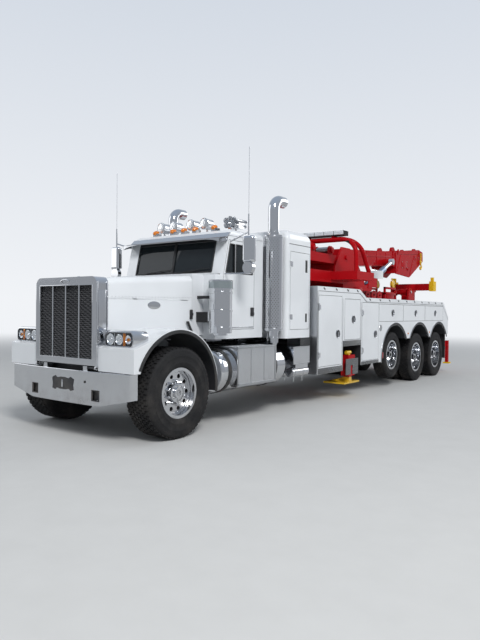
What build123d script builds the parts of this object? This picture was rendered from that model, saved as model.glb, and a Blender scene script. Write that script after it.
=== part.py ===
"""Heavy tow truck: a long-nose tractor with a sleeper, a raised pusher axle and twin drive axles,
carrying a recovery body with a slewing two-stage boom, side outriggers and a folding underlift.

Millimetres. X points to the truck's left, Y rearwards from the front axle, Z up from the ground.
"""
from build123d import *
from math import cos, sin, pi, radians
import os

os.makedirs("parts", exist_ok=True)

# Clearances
PANEL_GAP = 6.0          # round a door, hatch or lid in its opening
PIN_GAP = 0.3            # round a pin, spindle or rod in its hole
SEAT_GAP = 0.3           # between a bedded piece and its seat
SLIDE_GAP = 6.0          # round a sliding tube in its housing

# Hinges of the doors, hatches and lockers
HINGE_OUT = 9.0          # pin's distance out of the face
HINGE_R = 8.0
HINGE_PIN_R = 4.0
HINGE_EAR = 20.0
HINGE_LENGTH = 120.0

# Axles: places along the truck
PUSHER_Y = 6580.0
DRIVE_Y = 8020.0
TANDEM_SPACING = 1360.0

# Wheels: columns are name, axle place, centre height, tyre radius, tyre width, tyre centres from
# the middle of the truck, rim radius, rim width, face of the disc, outer end of the hub
RIM_EDGE = 22.0          # height of a rim's flange over its bead seat
BEAD_LIP = 14.0          # thickness of a rim's flange
RIM_WALL = 14.0
WHEELS = [
    ("front", 0.0, 556.0, 556.0, 400.0, [1030.0], 286.0, 340.0, 1120.0, 1188.0),
    ("pusher", PUSHER_Y, 670.0, 480.0, 275.0, [1100.0], 286.0, 230.0, 1030.0, 1190.0),
    ("drive_front", DRIVE_Y, 545.0, 545.0, 275.0, [775.0, 1100.0], 311.0, 230.0, 1012.0, 1190.0),
    ("drive_rear", DRIVE_Y + TANDEM_SPACING, 545.0, 545.0, 275.0, [775.0, 1100.0], 311.0, 230.0,
     1012.0, 1190.0),
]
SPINDLE_R = 45.0
HUB_R = 100.0
HAND_HOLES = 10
HAND_HOLE_R = 27.0
KINGPIN_X = 820.0
KINGPIN_R = 30.0
STEER_EYE_R = 60.0
STEER_EYE_HEIGHT = 120.0
KNUCKLE_EAR = 40.0

# Chassis frame
RAIL_OUT = 432.0
RAIL_FLANGE = 80.0
RAIL_WEB = 9.0
RAIL_BOTTOM = 760.0
RAIL_TOP = 1030.0
RAIL_FRONT = -690.0
RAIL_REAR = 10000.0
CROSSMEMBERS = [-600.0, 1150.0, 2600.0, 3900.0, 5400.0, 7350.0, 8735.0, 9900.0]

# Bumper
BUMPER_HALF = 1130.0
BUMPER_NOSE = -800.0
BUMPER_END = -745.0
BUMPER_BOTTOM = 430.0
BUMPER_END_BOTTOM = 530.0
BUMPER_TOP = 826.0
BUMPER_SHEET = 10.0
BUMPER_LIP = 60.0
HOOK_X = 588.0
HOOK_SIDE = 130.0
TOW_PIN_R = 18.0

# Hood, grille and front fenders
SHELL_FRONT = -775.0
SHELL_REAR = -600.0
SHELL_HALF = 590.0
SHELL_TOP = 1950.0
SHELL_BOTTOM = 895.0
SHELL_CORNER = 90.0
MESH_HALF = 515.0
MESH_BOTTOM = 970.0
MESH_TOP = 1850.0
GRILLE_BARS = 3
HOOD_REAR = 700.0
HOOD_FLARE = 175.0       # how much wider each side is at the cowl
HOOD_REAR_HALF = SHELL_HALF + HOOD_FLARE
HOOD_REAR_TOP = 2035.0
HOOD_SHEET = 22.0
HOOD_SKIRT = 1180.0
FENDER_OUT = 1195.0
FENDER_IN = SHELL_HALF
FENDER_ARCH_R = 690.0
FENDER_WALL = 55.0
FENDER_CENTRE_Z = 590.0
FENDER_FRONT = -745.0
FENDER_FRONT_BOTTOM = 835.0
FENDER_FRONT_TOP = 1110.0
FENDER_REAR_BOTTOM = 500.0
FENDER_REAR = 728.0
LAMP_GAP = 50.0          # between a lamp pod and the grille shell
LAMP_IN = SHELL_HALF + LAMP_GAP
LAMP_OUT = 1175.0
LAMP_FRONT = -700.0
LAMP_DEPTH = 250.0
LAMP_HEIGHT = 170.0
HOOD_PIVOT_Y = -765.0
HOOD_PIVOT_Z = 868.0
HOOD_PIN_R = 12.0
HOOD_EAR = 15.0          # reach of the pivot's ears round its pin

# Cab and sleeper
CAB_HALF = 970.0
CAB_WALL = 45.0
CAB_FRONT = 950.0
CAB_REAR = 2080.0
CAB_BOTTOM = 1165.0
CAB_FLOOR = 60.0
CAB_BELT = 2060.0
SCREEN_FOOT_Y = 1100.0
SCREEN_HEAD_Y = 1220.0
SCREEN_HEAD_Z = 2590.0
CAB_ROOF = 2715.0
COWL_FRONT = 720.0
DOOR_FRONT = 1120.0
DOOR_LEAN = 115.0
DOOR_REAR = 1860.0
DOOR_BOTTOM = 1295.0
DOOR_TOP = 2560.0
WINDOW_FRONT = 1170.0
WINDOW_LEAN = 95.0
WINDOW_REAR = 1815.0
WINDOW_BOTTOM = 2095.0
WINDOW_TOP = 2505.0
VENT_HEAD = 115.0        # length of the vent pane's upper edge
VENT_POST = WINDOW_FRONT + WINDOW_LEAN + VENT_HEAD
VENT_POST_WIDTH = 26.0
GLASS = 6.0
MIRROR_X = 1330.0
WHIP_TOP = 3790.0
SCREEN_HALF = 760.0
SCREEN_POST = 30.0
SLEEPER_HALF = 1200.0
SLEEPER_FRONT = 2420.0
SLEEPER_REAR = 3160.0
SLEEPER_BOTTOM = 1140.0
SLEEPER_TOP = 2840.0
SLEEPER_WALL = 40.0
SLEEPER_ROUND = 150.0
SLEEPER_CORNER = 60.0
HATCH_FRONT = 2505.0
HATCH_REAR = 3090.0
HATCH_BOTTOM = 1275.0
HATCH_TOP = 2500.0
MARKER_X = [-593.0, -225.0, 0.0, 225.0, 593.0]
ROOF_LAMP_X = [-560.0, -300.0, 60.0, 330.0]
PASS_HALF = 650.0
NECK_HALF = 850.0

# Pieces along the cab
CLEANER_X = 1120.0
CLEANER_Y = 875.0
CLEANER_R = 155.0
CLEANER_BOTTOM = 1260.0
CLEANER_TOP = 1960.0
STACK_X = 1050.0
STACK_Y = 2250.0
STACK_R = 89.0
STACK_WALL = 4.0
STACK_TOP = 3350.0
STACK_FOOT = 1080.0
SHIELD_R = 150.0
SHIELD_BOTTOM = 1260.0
SHIELD_TOP = 2720.0
TANK_X = 900.0
TANK_Z = 735.0
TANK_R = 300.0
TANK_FRONT = 840.0
TANK_REAR = 2420.0
STEP_FRONT = 1100.0
STEP_REAR = 2050.0
STEP_OUT = 1245.0
BOX_FRONT = 2560.0
BOX_REAR = 3060.0

# Recovery body
BODY_HALF = 1293.0
BODY_INNER = 720.0
BODY_FRONT = 3200.0
BODY_REAR = 10120.0
BODY_BOTTOM = 520.0
BODY_HIGH = 1985.0
BODY_LOW = 1840.0
STEP_DOWN_START = 4800.0
STEP_DOWN_END = 5090.0
TAIL_CHAMFER_Y = 9700.0
TAIL_CHAMFER_Z = 1450.0
BAY_FRONT = 4140.0
BAY_REAR = 4880.0
BAY_TOP = 950.0
BODY_MID_BOTTOM = 570.0
ARCH_R = 700.0
ARCH_Z = 600.0
ARCH_BETWEEN_Z = 1000.0
BODY_SKIN = 30.0
CABINET_END = 5700.0      # where the front cabinets meet the sections over the wheels
DECK_BOTTOM = 1260.0
DECK_TOP = 1295.0
RAIL_CAP = 45.0
# Lockers: columns are name, front, rear, bottom, top; the first two have hinged doors
LOCKERS = [
    ("front", 3250.0, 4095.0, 640.0, 1840.0),
    ("rear", 4930.0, 5690.0, 640.0, 1750.0),
]
# Panels that stay shut: columns are front, rear, bottom, top
FIXED_PANELS = [
    (4200.0, 4850.0, 1060.0, 1800.0),
    (5710.0, 6995.0, 1375.0, 1735.0),
    (7010.0, 8370.0, 1375.0, 1735.0),
    (8385.0, 9700.0, 1375.0, 1735.0),
]
SEAM_WIDTH = 8.0
SEAM_DEPTH = 6.0
LATCH_R = 62.0
LATCH_PROUD = 4.0

# Subframe, outriggers and tail
SILL_IN = 352.0
SILL_OUT = 470.0
OUTRIGGER_Y = 4540.0
BEAM_WIDTH = 130.0
BEAM_HEIGHT = 170.0
BEAM_BOTTOM = 560.0
BEAM_INNER_END = -560.0
BEAM_OUTER_END = 1125.0
HOUSING_HALF = 900.0
HOUSING_WALL = 12.0
JACK_WIDTH = 150.0
JACK_DEPTH = 260.0
JACK_WALL = 12.0
JACK_BOTTOM = 400.0
JACK_TOP = 780.0
LEG_HEADROOM = 20.0      # between the leg's top and the jack's outside
LEG_SIDE = 100.0
PAD_LOW = 265.0
PAD_THICK = 28.0
PAD_LENGTH = 600.0
PAD_INNER = 860.0
PAD_OUTER = 1285.0
MAST_HALF = 300.0
MAST_FRONT = 10030.0
MAST_REAR = 10400.0
MAST_BOTTOM = 450.0
MAST_TOP = 1800.0
TAIL_BEAM_BOTTOM = 690.0
TAIL_BEAM_TOP = 820.0
REAR_LEG_X = 1190.0
REAR_LEG_Y = 10400.0
REAR_LEG_SIDE = 75.0
REAR_LEG_TOP = 845.0
REAR_FOOT_LOW = 240.0
REAR_FOOT_HALF = 80.0

# Underlift, stowed upright
FOLD_Y = 10700.0
FOLD_Z = 660.0
FOLD_PIN_R = 35.0
LIFT_ARM_HALF = 150.0
LIFT_ARM_FRONT = 10590.0
LIFT_ARM_REAR = 10830.0
LIFT_ARM_TOP = 2150.0
LIFT_ARM_WALL = 12.0
CROSSBAR_HALF = 500.0
CROSSBAR_FRONT = 11020.0
CROSSBAR_REAR = 11210.0
CROSSBAR_BOTTOM = 2200.0
CROSSBAR_TOP = 2390.0
FORK_PIN_R = 20.0

# Turret
TURRET_Y = 6200.0
PEDESTAL_R = 520.0
SLEW_BOTTOM = 1960.0
SLEW_GAP = 0.3
SLEW_R = 640.0
TURRET_BOTTOM = 2030.0
TAIL_HALF = 600.0
TAIL_FRONT = 4150.0
TAIL_BOTTOM = 2140.0
TAIL_TOP = 2360.0
TOWER_IN = 345.0
TOWER_PLATE = 40.0
DECK_HALF = 345.0
WINCH_DECK_FRONT = 4450.0
WINCH_DECK_REAR = 5760.0
WINCH_DECK_BOTTOM = 2560.0
WINCH_DECK_TOP = 2740.0
WINCH_Y = [4730.0, 5490.0]
DRUM_R = 75.0
DRUM_FLANGE_R = 110.0
DRUM_HALF = 290.0
WINCH_Z = 2860.0

# Light hoop
HOOP_X = 1100.0
HOOP_Y = 5050.0
HOOP_TOP_Z = 2985.0
HOOP_R = 43.0
HOOP_BEND = 330.0
HOOP_BACK_TOP_Y = 5150.0
HOOP_BACK_FOOT_Y = 5640.0
HOOP_BASE_FRONT = 4960.0
HOOP_BASE_REAR = 5730.0
HOOP_BASE_BOTTOM = 2190.0
HOOP_BASE_TOP = 2350.0
HOOP_BASE_OUT = 1165.0
LIGHT_BAR_HALF = 860.0
LIGHT_BAR_BOTTOM = 3050.0
LIGHT_BAR_TOP = 3140.0

# Boom: u runs along it from the pivot, v square to it
BOOM_PIVOT_Y = 6050.0
BOOM_PIVOT_Z = 2720.0
BOOM_TILT = 4.0
BOOM_PIN_R = 45.0
BOOM_HALF = 290.0
BOOM_LOW = -170.0
BOOM_HIGH = 190.0
BOOM_BUTT = -110.0
BOOM_MOUTH = 2900.0
BOOM_WALL = 14.0
INNER_START = 150.0
INNER_OUT = 90.0         # inner stage's reach past the mouth at rest
INNER_END = BOOM_MOUTH + INNER_OUT
HEAD_HALF = 330.0
# Side outline of the head box past the boom's mouth: columns are u and v
HEAD_OUTLINE = [(0, -370), (0, 160), (90, 205), (1660, 262), (1960, 190), (1960, -60), (920, -480)]
SHEAVE_R = 120.0
SHEAVE_WIDTH = 60.0
SHEAVE_X = [-170.0, 170.0]
CYLINDER_X = 500.0
CYLINDER_FOOT_Y = 6720.0
CYLINDER_FOOT_Z = 2120.0
CYLINDER_LUG_U = 2200.0
CYLINDER_LUG_V = -85.0
BARREL_R = 75.0
BARREL_LENGTH = 1150.0
BARREL_WALL = 15.0
ROD_R = 45.0
ROD_INSIDE = 920.0
EYE_R = 75.0
EYE_PIN_R = 40.0


# Shape helpers
def block(x0, x1, y0, y1, z0, z1):
    size = (abs(x1 - x0), abs(y1 - y0), abs(z1 - z0))
    return Pos((x0 + x1) / 2, (y0 + y1) / 2, (z0 + z1) / 2) * Box(*size)


def prism_yz(points, x0, x1):
    """A side outline, given as (y, z), from x0 to x1."""
    outline = Polyline([(x0, y, z) for y, z in points], close=True)
    return extrude(make_face(outline), amount=x1 - x0, dir=(1, 0, 0))


def prism_xz(points, y0, y1):
    """A front outline, given as (x, z), from y0 to y1."""
    outline = Polyline([(x, y0, z) for x, z in points], close=True)
    return extrude(make_face(outline), amount=y1 - y0, dir=(0, 1, 0))


def prism_xy(points, z0, z1):
    """A plan outline, given as (x, y), from z0 to z1."""
    outline = Polyline([(x, y, z0) for x, y in points], close=True)
    return extrude(make_face(outline), amount=z1 - z0, dir=(0, 0, 1))


def disc_x(y, z, radius, x0, x1):
    return Pos((x0 + x1) / 2, y, z) * (Rot(0, 90, 0) * Cylinder(radius, abs(x1 - x0)))


def disc_z(x, y, radius, z0, z1):
    return Pos(x, y, (z0 + z1) / 2) * Cylinder(radius, abs(z1 - z0))


def disc_y(x, z, radius, y0, y1):
    return Pos(x, (y0 + y1) / 2, z) * (Rot(90, 0, 0) * Cylinder(radius, abs(y1 - y0)))


def rod(start, end, radius):
    a, b = Vector(*start), Vector(*end)
    return Solid.make_cylinder(radius, (b - a).length, Plane(origin=a, z_dir=b - a))


def pipe(points, bend, radius):
    path = FilletPolyline(*points, radius=bend)
    start = Plane(origin=path @ 0, z_dir=path % 0)
    return sweep(start * Circle(radius), path=path)


def spin_x(points, y, z):
    """An outline of (x, radius) turned about the line along X through (y, z)."""
    outline = Polyline([(x, r, 0) for x, r in points], close=True)
    return Pos(0, y, z) * revolve(make_face(outline), Axis.X)


def mirrored(shape):
    return mirror(shape, Plane.YZ)


def both(shape):
    return [shape, mirrored(shape)]


def hinge_pin(face, y, z):
    """Two ears on a wall with the upright pin between them; y is the opening's front edge."""
    x = face + HINGE_OUT
    pieces = [disc_z(x, y, HINGE_PIN_R, z, z + HINGE_LENGTH)]
    for low in (z, z + HINGE_LENGTH - HINGE_EAR):
        pieces.append(disc_z(x, y, HINGE_R, low, low + HINGE_EAR))
        pieces.append(block(face - 1, x + 4, y - 22, y, low, low + HINGE_EAR))
    return joined(pieces)


def hinge_sleeve(face, y, z):
    """The door's sleeve on that pin, with the strap that carries it."""
    x = face + HINGE_OUT
    low, high = z + HINGE_EAR + PIN_GAP, z + HINGE_LENGTH - HINGE_EAR - PIN_GAP
    sleeve = disc_z(x, y, HINGE_R, low, high) + block(face - 1, face + 5, y, y + 70, low, high)
    return sleeve - disc_z(x, y, HINGE_PIN_R + PIN_GAP, low - 5, high + 5)


def hinge_levels(bottom, top):
    return [bottom + 140, top - 140 - HINGE_LENGTH]


def joined(shapes):
    total = shapes[0]
    for shape in shapes[1:]:
        total = total + shape
    return total



# Wheels
def tyre(centre, y, z, radius, width, rim_radius, rim_width):
    """One tyre's section turned about its axle: tread, shoulders, side walls and beads."""
    bead = rim_width / 2 - BEAD_LIP - SEAT_GAP
    seat = rim_radius + SEAT_GAP
    half = width / 2
    bulge = (radius + rim_radius) / 2
    side = [(half * 0.80, radius), (half * 0.94, radius - width * 0.06), (half, bulge),
            (half * 0.94, rim_radius + 45), (bead, rim_radius + 30), (bead, seat)]
    outline = [(centre + x, r) for x, r in side] + [(centre - x, r) for x, r in reversed(side)]
    return spin_x(outline, y, z)


def rim(centres, y, z, rim_radius, rim_width, disc, hub_end):
    """Rims with a pierced disc and a hub that turns on the axle's spindle."""
    pieces = []
    half = rim_width / 2
    for c in centres:
        edge = rim_radius + RIM_EDGE
        inner = rim_radius - RIM_WALL
        pieces.append(spin_x([(c - half, inner), (c - half, edge), (c - half + BEAD_LIP, edge),
                              (c - half + BEAD_LIP, rim_radius), (c + half - BEAD_LIP, rim_radius),
                              (c + half - BEAD_LIP, edge), (c + half, edge), (c + half, inner)], y, z))
    disc_back = disc - 30
    plate = disc_x(y, z, rim_radius - RIM_WALL + 2, disc_back, disc)
    ring_r = (HUB_R + rim_radius) / 2 + 12
    for i in range(HAND_HOLES):
        a = 2 * pi * i / HAND_HOLES
        plate = plate - disc_x(y + ring_r * cos(a), z + ring_r * sin(a), HAND_HOLE_R,
                               disc_back - 5, disc + 5)
    hub_start = KNUCKLE_FACE + PANEL_GAP if centres[0] > 1000 and y == 0 else disc_back - 120
    if len(centres) == 2:
        # the inner rim hangs on its own disc behind the outer one, through a spacer drum
        shell = disc_x(y, z, rim_radius - 60, centres[0] + half - 40, disc_back)
        shell = shell - disc_x(y, z, rim_radius - 84, centres[0] + half - 25, disc_back + 1)
        collar = disc_x(y, z, rim_radius - RIM_WALL + 2, centres[0] + half - 40, centres[0] + half - 25)
        pieces.append(shell + collar)
    elif disc_back < centres[0] - half:
        pieces.append(disc_x(y, z, rim_radius - RIM_WALL + 2, disc_back, disc))
    hub = disc_x(y, z, HUB_R, hub_start, disc + 45) + disc_x(y, z, HUB_R * 0.66, disc + 40, hub_end)
    whole = joined(pieces + [plate, hub])
    return whole - disc_x(y, z, SPINDLE_R + PIN_GAP, hub_start - 200, disc + 20)


KNUCKLE_FACE = KINGPIN_X + STEER_EYE_R + SLIDE_GAP + KNUCKLE_EAR


def knuckle():
    """Steering knuckle: two ears round the axle's eye, a plate and the wheel's spindle."""
    z = WHEELS[0][2]
    half = STEER_EYE_HEIGHT / 2 + SLIDE_GAP
    reach = KNUCKLE_FACE - KNUCKLE_EAR
    pieces = [block(reach, KNUCKLE_FACE, -60, 60, z - half - KNUCKLE_EAR, z + half + KNUCKLE_EAR)]
    for low in (z - half - KNUCKLE_EAR, z + half):
        pieces.append(block(KINGPIN_X, reach + 1, -55, 55, low, low + KNUCKLE_EAR))
        pieces.append(disc_z(KINGPIN_X, 0, 55, low, low + KNUCKLE_EAR))
    pieces.append(disc_z(KINGPIN_X, 0, KINGPIN_R, z - half, z + half))
    pieces.append(disc_x(0, z, SPINDLE_R, KNUCKLE_FACE - 5, WHEELS[0][8] + 15))
    return joined(pieces)


def axle_beams():
    """Front beam on leaf springs, the pusher's dropped beam and the two drive axles."""
    z = WHEELS[0][2]
    eye = disc_z(KINGPIN_X, 0, STEER_EYE_R, z - STEER_EYE_HEIGHT / 2, z + STEER_EYE_HEIGHT / 2)
    side = eye + block(640, KINGPIN_X, -45, 45, z - 60, z + 50)
    side = side + prism_xz([(470, 400), (700, 496), (700, 600), (640, 600), (470, 500)], -45, 45)
    side = side - disc_z(KINGPIN_X, 0, KINGPIN_R + PIN_GAP, z - 100, z + 100)
    spring = prism_yz([(-540, 700), (-60, 560), (60, 560), (540, 700), (540, 745), (60, 620),
                       (-60, 620), (-540, 745)], 385, 460)
    spring = spring + block(385, 460, -90, 90, 500, 570)
    for end in (-510, 510):
        spring = spring + block(385, RAIL_OUT, end - 40, end + 40, 690, RAIL_BOTTOM)
    front = joined([block(-480, 480, -45, 45, 400, 500)] + both(side) + both(spring))
    name, y, height = WHEELS[1][0:3]
    side = block(420, 870, y - 50, y + 50, height - 50, height + 50)
    side = side + block(380, 480, y - 50, y + 50, 470, RAIL_BOTTOM)
    side = side + disc_x(y, height, SPINDLE_R, 860, WHEELS[1][8] + 15)
    pusher = joined([block(-430, 430, y - 50, y + 50, 470, 570)] + both(side))
    drives = []
    for wheel in WHEELS[2:]:
        y, height = wheel[1], wheel[2]
        tube = disc_x(y, height, 75, -620, 620) + disc_x(y, height, 220, -150, 110)
        drives.append(tube + disc_x(y, height, SPINDLE_R, -wheel[8] - 15, wheel[8] + 15))
    middle = DRIVE_Y + TANDEM_SPACING / 2
    height = WHEELS[2][2]
    beam = block(500, 580, DRIVE_Y, DRIVE_Y + TANDEM_SPACING, height - 60, height + 60)
    saddle = block(SILL_IN, 580, middle - 90, middle + 90, height, RAIL_BOTTOM)
    tandem = joined(drives + both(beam) + both(saddle) + [disc_x(middle, height + 60, 50, -560, 560)])
    return [front, pusher, tandem]


def frame_rails():
    """Two channel rails tied by crossmembers, with the front tow sockets."""
    inner = RAIL_OUT - RAIL_FLANGE
    web = RAIL_OUT - RAIL_WEB
    section = [(inner, RAIL_BOTTOM), (RAIL_OUT, RAIL_BOTTOM), (RAIL_OUT, RAIL_TOP), (inner, RAIL_TOP),
               (inner, RAIL_TOP - RAIL_WEB), (web, RAIL_TOP - RAIL_WEB),
               (web, RAIL_BOTTOM + RAIL_WEB), (inner, RAIL_BOTTOM + RAIL_WEB)]
    rail = prism_xz(section, RAIL_FRONT, RAIL_REAR)
    pieces = both(rail)
    for y in CROSSMEMBERS:
        pieces.append(block(-web - 2, web + 2, y - 40, y + 40, RAIL_TOP - 100, RAIL_TOP - RAIL_WEB + 1))
    half = HOOK_SIDE / 2 - PANEL_GAP
    hook = block(HOOK_X - half, HOOK_X + half, -740, -560, 550 - half, 550 + half)
    hook = hook - block(HOOK_X - half + 15, HOOK_X + half - 15, -741, -640, 565 - half, 535 + half)
    hanger = block(RAIL_OUT - 5, HOOK_X + half, -640, -560, 550 - half, FENDER_FRONT_BOTTOM - 15)
    pieces += both(hook) + both(hanger)
    pin = disc_x(HOOD_PIVOT_Y, HOOD_PIVOT_Z, HOOD_PIN_R, RAIL_OUT + 5, SHELL_HALF + 8)
    ear = block(RAIL_OUT, RAIL_OUT + 13, HOOD_PIVOT_Y - HOOD_EAR, RAIL_FRONT + 40,
                HOOD_PIVOT_Z - HOOD_EAR, HOOD_PIVOT_Z + HOOD_EAR)
    pieces += both(pin) + both(ear)
    socket = block(-150, 150, -730, -600, 590, 700) - block(-120, 120, -731, -640, 620, 670)
    socket = socket - disc_z(0, -690, TOW_PIN_R, 580, 710)
    pieces.append(socket + block(-web, web, -640, -560, 600, 885))
    return joined(pieces)


def engine_and_driveline():
    """The engine's mass as one plain block, with the gearbox and the shaft to the drive axles."""
    engine = block(-325, 325, -330, 700, 790, 1500)
    gearbox = block(-210, 210, 690, 1650, 640, 920)
    mounts = both(block(320, RAIL_OUT - RAIL_WEB, 150, 270, 880, 960))
    shaft_front = rod((0, 1640, 820), (0, 5200, 820), 50)
    shaft_rear = rod((0, 5150, 820), (0, DRIVE_Y - 235, 600), 50)
    return joined([engine, gearbox, shaft_front, shaft_rear] + mounts)


# Front end
def bumper():
    """A bowed sheet whose lower edge rises to the ends, with tow openings and a top lip."""
    def bow(offset):
        return [(-BUMPER_HALF, BUMPER_END + offset), (0, BUMPER_NOSE + offset),
                (BUMPER_HALF, BUMPER_END + offset)]

    def plate(depth, z0, z1):
        front, back = bow(0), bow(depth)
        edges = [ThreePointArc(*[(x, y, z0) for x, y in front]),
                 Line((BUMPER_HALF, front[2][1], z0), (BUMPER_HALF, back[2][1], z0)),
                 ThreePointArc(*[(x, y, z0) for x, y in reversed(back)]),
                 Line((-BUMPER_HALF, back[0][1], z0), (-BUMPER_HALF, front[0][1], z0))]
        return extrude(make_face(edges), amount=z1 - z0, dir=(0, 0, 1))

    sheet = plate(BUMPER_SHEET, BUMPER_BOTTOM, BUMPER_TOP)
    lip = plate(BUMPER_LIP, BUMPER_TOP - BUMPER_SHEET, BUMPER_TOP)
    cheek = block(BUMPER_HALF - BUMPER_SHEET, BUMPER_HALF, BUMPER_END, BUMPER_END + 120,
                  BUMPER_END_BOTTOM, BUMPER_TOP)
    body = joined([sheet, lip] + both(cheek))
    corner = prism_xz([(620, BUMPER_BOTTOM - 5), (BUMPER_HALF + 5, BUMPER_BOTTOM - 5),
                       (BUMPER_HALF + 5, BUMPER_END_BOTTOM)], -900, -500)
    for cut in both(corner):
        body = body - cut
    half = HOOK_SIDE / 2
    for cut in both(block(HOOK_X - half, HOOK_X + half, -900, -700, 550 - half, 550 + half)):
        body = body - cut
    body = body - block(-190, 190, -900, -700, 590, 720)
    bracket = block(RAIL_OUT - RAIL_FLANGE, RAIL_OUT, BUMPER_NOSE + 25, RAIL_FRONT, 800, 885)
    return joined([body] + both(bracket))


def rounded_front(half, top, bottom, corner, y):
    """The outline of the hood at one place along it: a tall arch with rounded shoulders."""
    return make_face([
        Line((-half, y, bottom), (-half, y, top - corner)),
        ThreePointArc((-half, y, top - corner),
                      (-half + corner * (1 - cos(pi / 4)), y, top - corner * (1 - sin(pi / 4))),
                      (-half + corner, y, top)),
        Line((-half + corner, y, top), (half - corner, y, top)),
        ThreePointArc((half - corner, y, top),
                      (half - corner * (1 - cos(pi / 4)), y, top - corner * (1 - sin(pi / 4))),
                      (half, y, top - corner)),
        Line((half, y, top - corner), (half, y, bottom)),
        Line((half, y, bottom), (-half, y, bottom))])


def hood_shell():
    """Hood skin from the grille shell to the cowl, in one piece with the two front fenders."""
    s = HOOD_SHEET
    outer = loft([rounded_front(SHELL_HALF - 5, SHELL_TOP - 5, HOOD_SKIRT, SHELL_CORNER, SHELL_REAR),
                  rounded_front(HOOD_REAR_HALF, HOOD_REAR_TOP, HOOD_SKIRT, SHELL_CORNER, HOOD_REAR)])
    inner = loft([rounded_front(SHELL_HALF - 5 - s, SHELL_TOP - 5 - s, HOOD_SKIRT - 10,
                                SHELL_CORNER - s, SHELL_REAR - 1),
                  rounded_front(HOOD_REAR_HALF - s, HOOD_REAR_TOP - s, HOOD_SKIRT - 10,
                                SHELL_CORNER - s, HOOD_REAR + 1)])
    z, r = FENDER_CENTRE_Z, FENDER_ARCH_R
    fender = disc_x(0, z, r + FENDER_WALL, FENDER_IN, FENDER_OUT)
    fender = fender + prism_yz([(FENDER_FRONT, FENDER_FRONT_BOTTOM), (FENDER_FRONT, FENDER_FRONT_TOP),
                                (-330, FENDER_FRONT_TOP + 140), (-200, 1000),
                                (-500, FENDER_FRONT_BOTTOM)], FENDER_IN, FENDER_OUT)
    fender = fender - disc_x(0, z, r, 0, FENDER_OUT + 10)
    fender = fender - block(FENDER_IN - 10, FENDER_OUT + 10, -900, 0, -400, FENDER_FRONT_BOTTOM)
    fender = fender - block(FENDER_IN - 10, FENDER_OUT + 10, 0, 900, -400, FENDER_REAR_BOTTOM)
    fender = fender - block(FENDER_IN - 10, FENDER_OUT + 10, -r, r, -400, z)
    fender = fender - block(FENDER_IN - 10, FENDER_OUT + 10, FENDER_REAR, 900, 0, 1500)
    return joined([outer - inner] + [f - inner for f in both(fender)])


def grille_shell():
    """Bright surround with upright bars over a mesh panel."""
    outer = extrude(rounded_front(SHELL_HALF, SHELL_TOP, SHELL_BOTTOM, SHELL_CORNER, SHELL_FRONT),
                    amount=SHELL_REAR - SHELL_FRONT - SEAT_GAP, dir=(0, 1, 0))
    hollow = block(-SHELL_HALF + 22, SHELL_HALF - 22, SHELL_FRONT + 60, SHELL_REAR + 5,
                   SHELL_BOTTOM - 5, SHELL_TOP - 60)
    opening = block(-MESH_HALF, MESH_HALF, SHELL_FRONT - 5, SHELL_REAR, MESH_BOTTOM, MESH_TOP)
    arm = block(SHELL_HALF - 22, SHELL_HALF, HOOD_PIVOT_Y - HOOD_EAR, HOOD_PIVOT_Y + HOOD_EAR,
                HOOD_PIVOT_Z, SHELL_BOTTOM + 5)
    arm = arm + disc_x(HOOD_PIVOT_Y, HOOD_PIVOT_Z, 20, SHELL_HALF - 22, SHELL_HALF)
    arm = arm - disc_x(HOOD_PIVOT_Y, HOOD_PIVOT_Z, HOOD_PIN_R + PIN_GAP, SHELL_HALF - 30, SHELL_HALF + 8)
    body = joined([outer - hollow - opening] + both(arm))
    mesh = block(-MESH_HALF - 1, MESH_HALF + 1, SHELL_FRONT + 42, SHELL_FRONT + 54,
                 MESH_BOTTOM - 1, MESH_TOP + 1)
    bars = []
    for i in range(GRILLE_BARS):
        x = -MESH_HALF + 2 * MESH_HALF * (i + 1) / (GRILLE_BARS + 1)
        bars.append(block(x - 11, x + 11, SHELL_FRONT + 8, SHELL_FRONT + 45, MESH_BOTTOM - 1,
                          MESH_TOP + 1))
    return joined([body, mesh] + bars)


def headlamps():
    """Lamp pods seated on the fenders' front shelves."""
    z = FENDER_FRONT_TOP + SEAT_GAP
    pod = block(LAMP_IN, LAMP_OUT, LAMP_FRONT, LAMP_FRONT + LAMP_DEPTH, z, z + LAMP_HEIGHT)
    pod = fillet(pod.edges().filter_by(Axis.Y), 60)
    slope = prism_yz([(-560, FENDER_FRONT_TOP - 10), (-330, FENDER_FRONT_TOP + 141), (-330, 1500),
                      (-300, 1500), (-300, 900)], LAMP_IN - 100, LAMP_OUT + 50)
    shelf = prism_yz([(FENDER_FRONT - 5, 1000), (FENDER_FRONT, FENDER_FRONT_TOP + SEAT_GAP),
                      (-330, FENDER_FRONT_TOP + 140 + SEAT_GAP), (-330, 1000)],
                     LAMP_IN - 100, LAMP_OUT + 50)
    return both(pod - slope - shelf)


# Cab
def cab_profile(inset):
    """The cab's side outline, drawn in by a wall's thickness."""
    i = inset
    return [(CAB_FRONT + i, CAB_BOTTOM + (CAB_FLOOR if i else 0)), (CAB_FRONT + i, CAB_BELT),
            (SCREEN_FOOT_Y + i, CAB_BELT + i * 0.5), (SCREEN_HEAD_Y + i, SCREEN_HEAD_Z - i * 0.6),
            (SCREEN_HEAD_Y + 120 + i, CAB_ROOF - i), (CAB_REAR - i, CAB_ROOF - i),
            (CAB_REAR - i, CAB_BOTTOM + (CAB_FLOOR if i else 0))]


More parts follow.
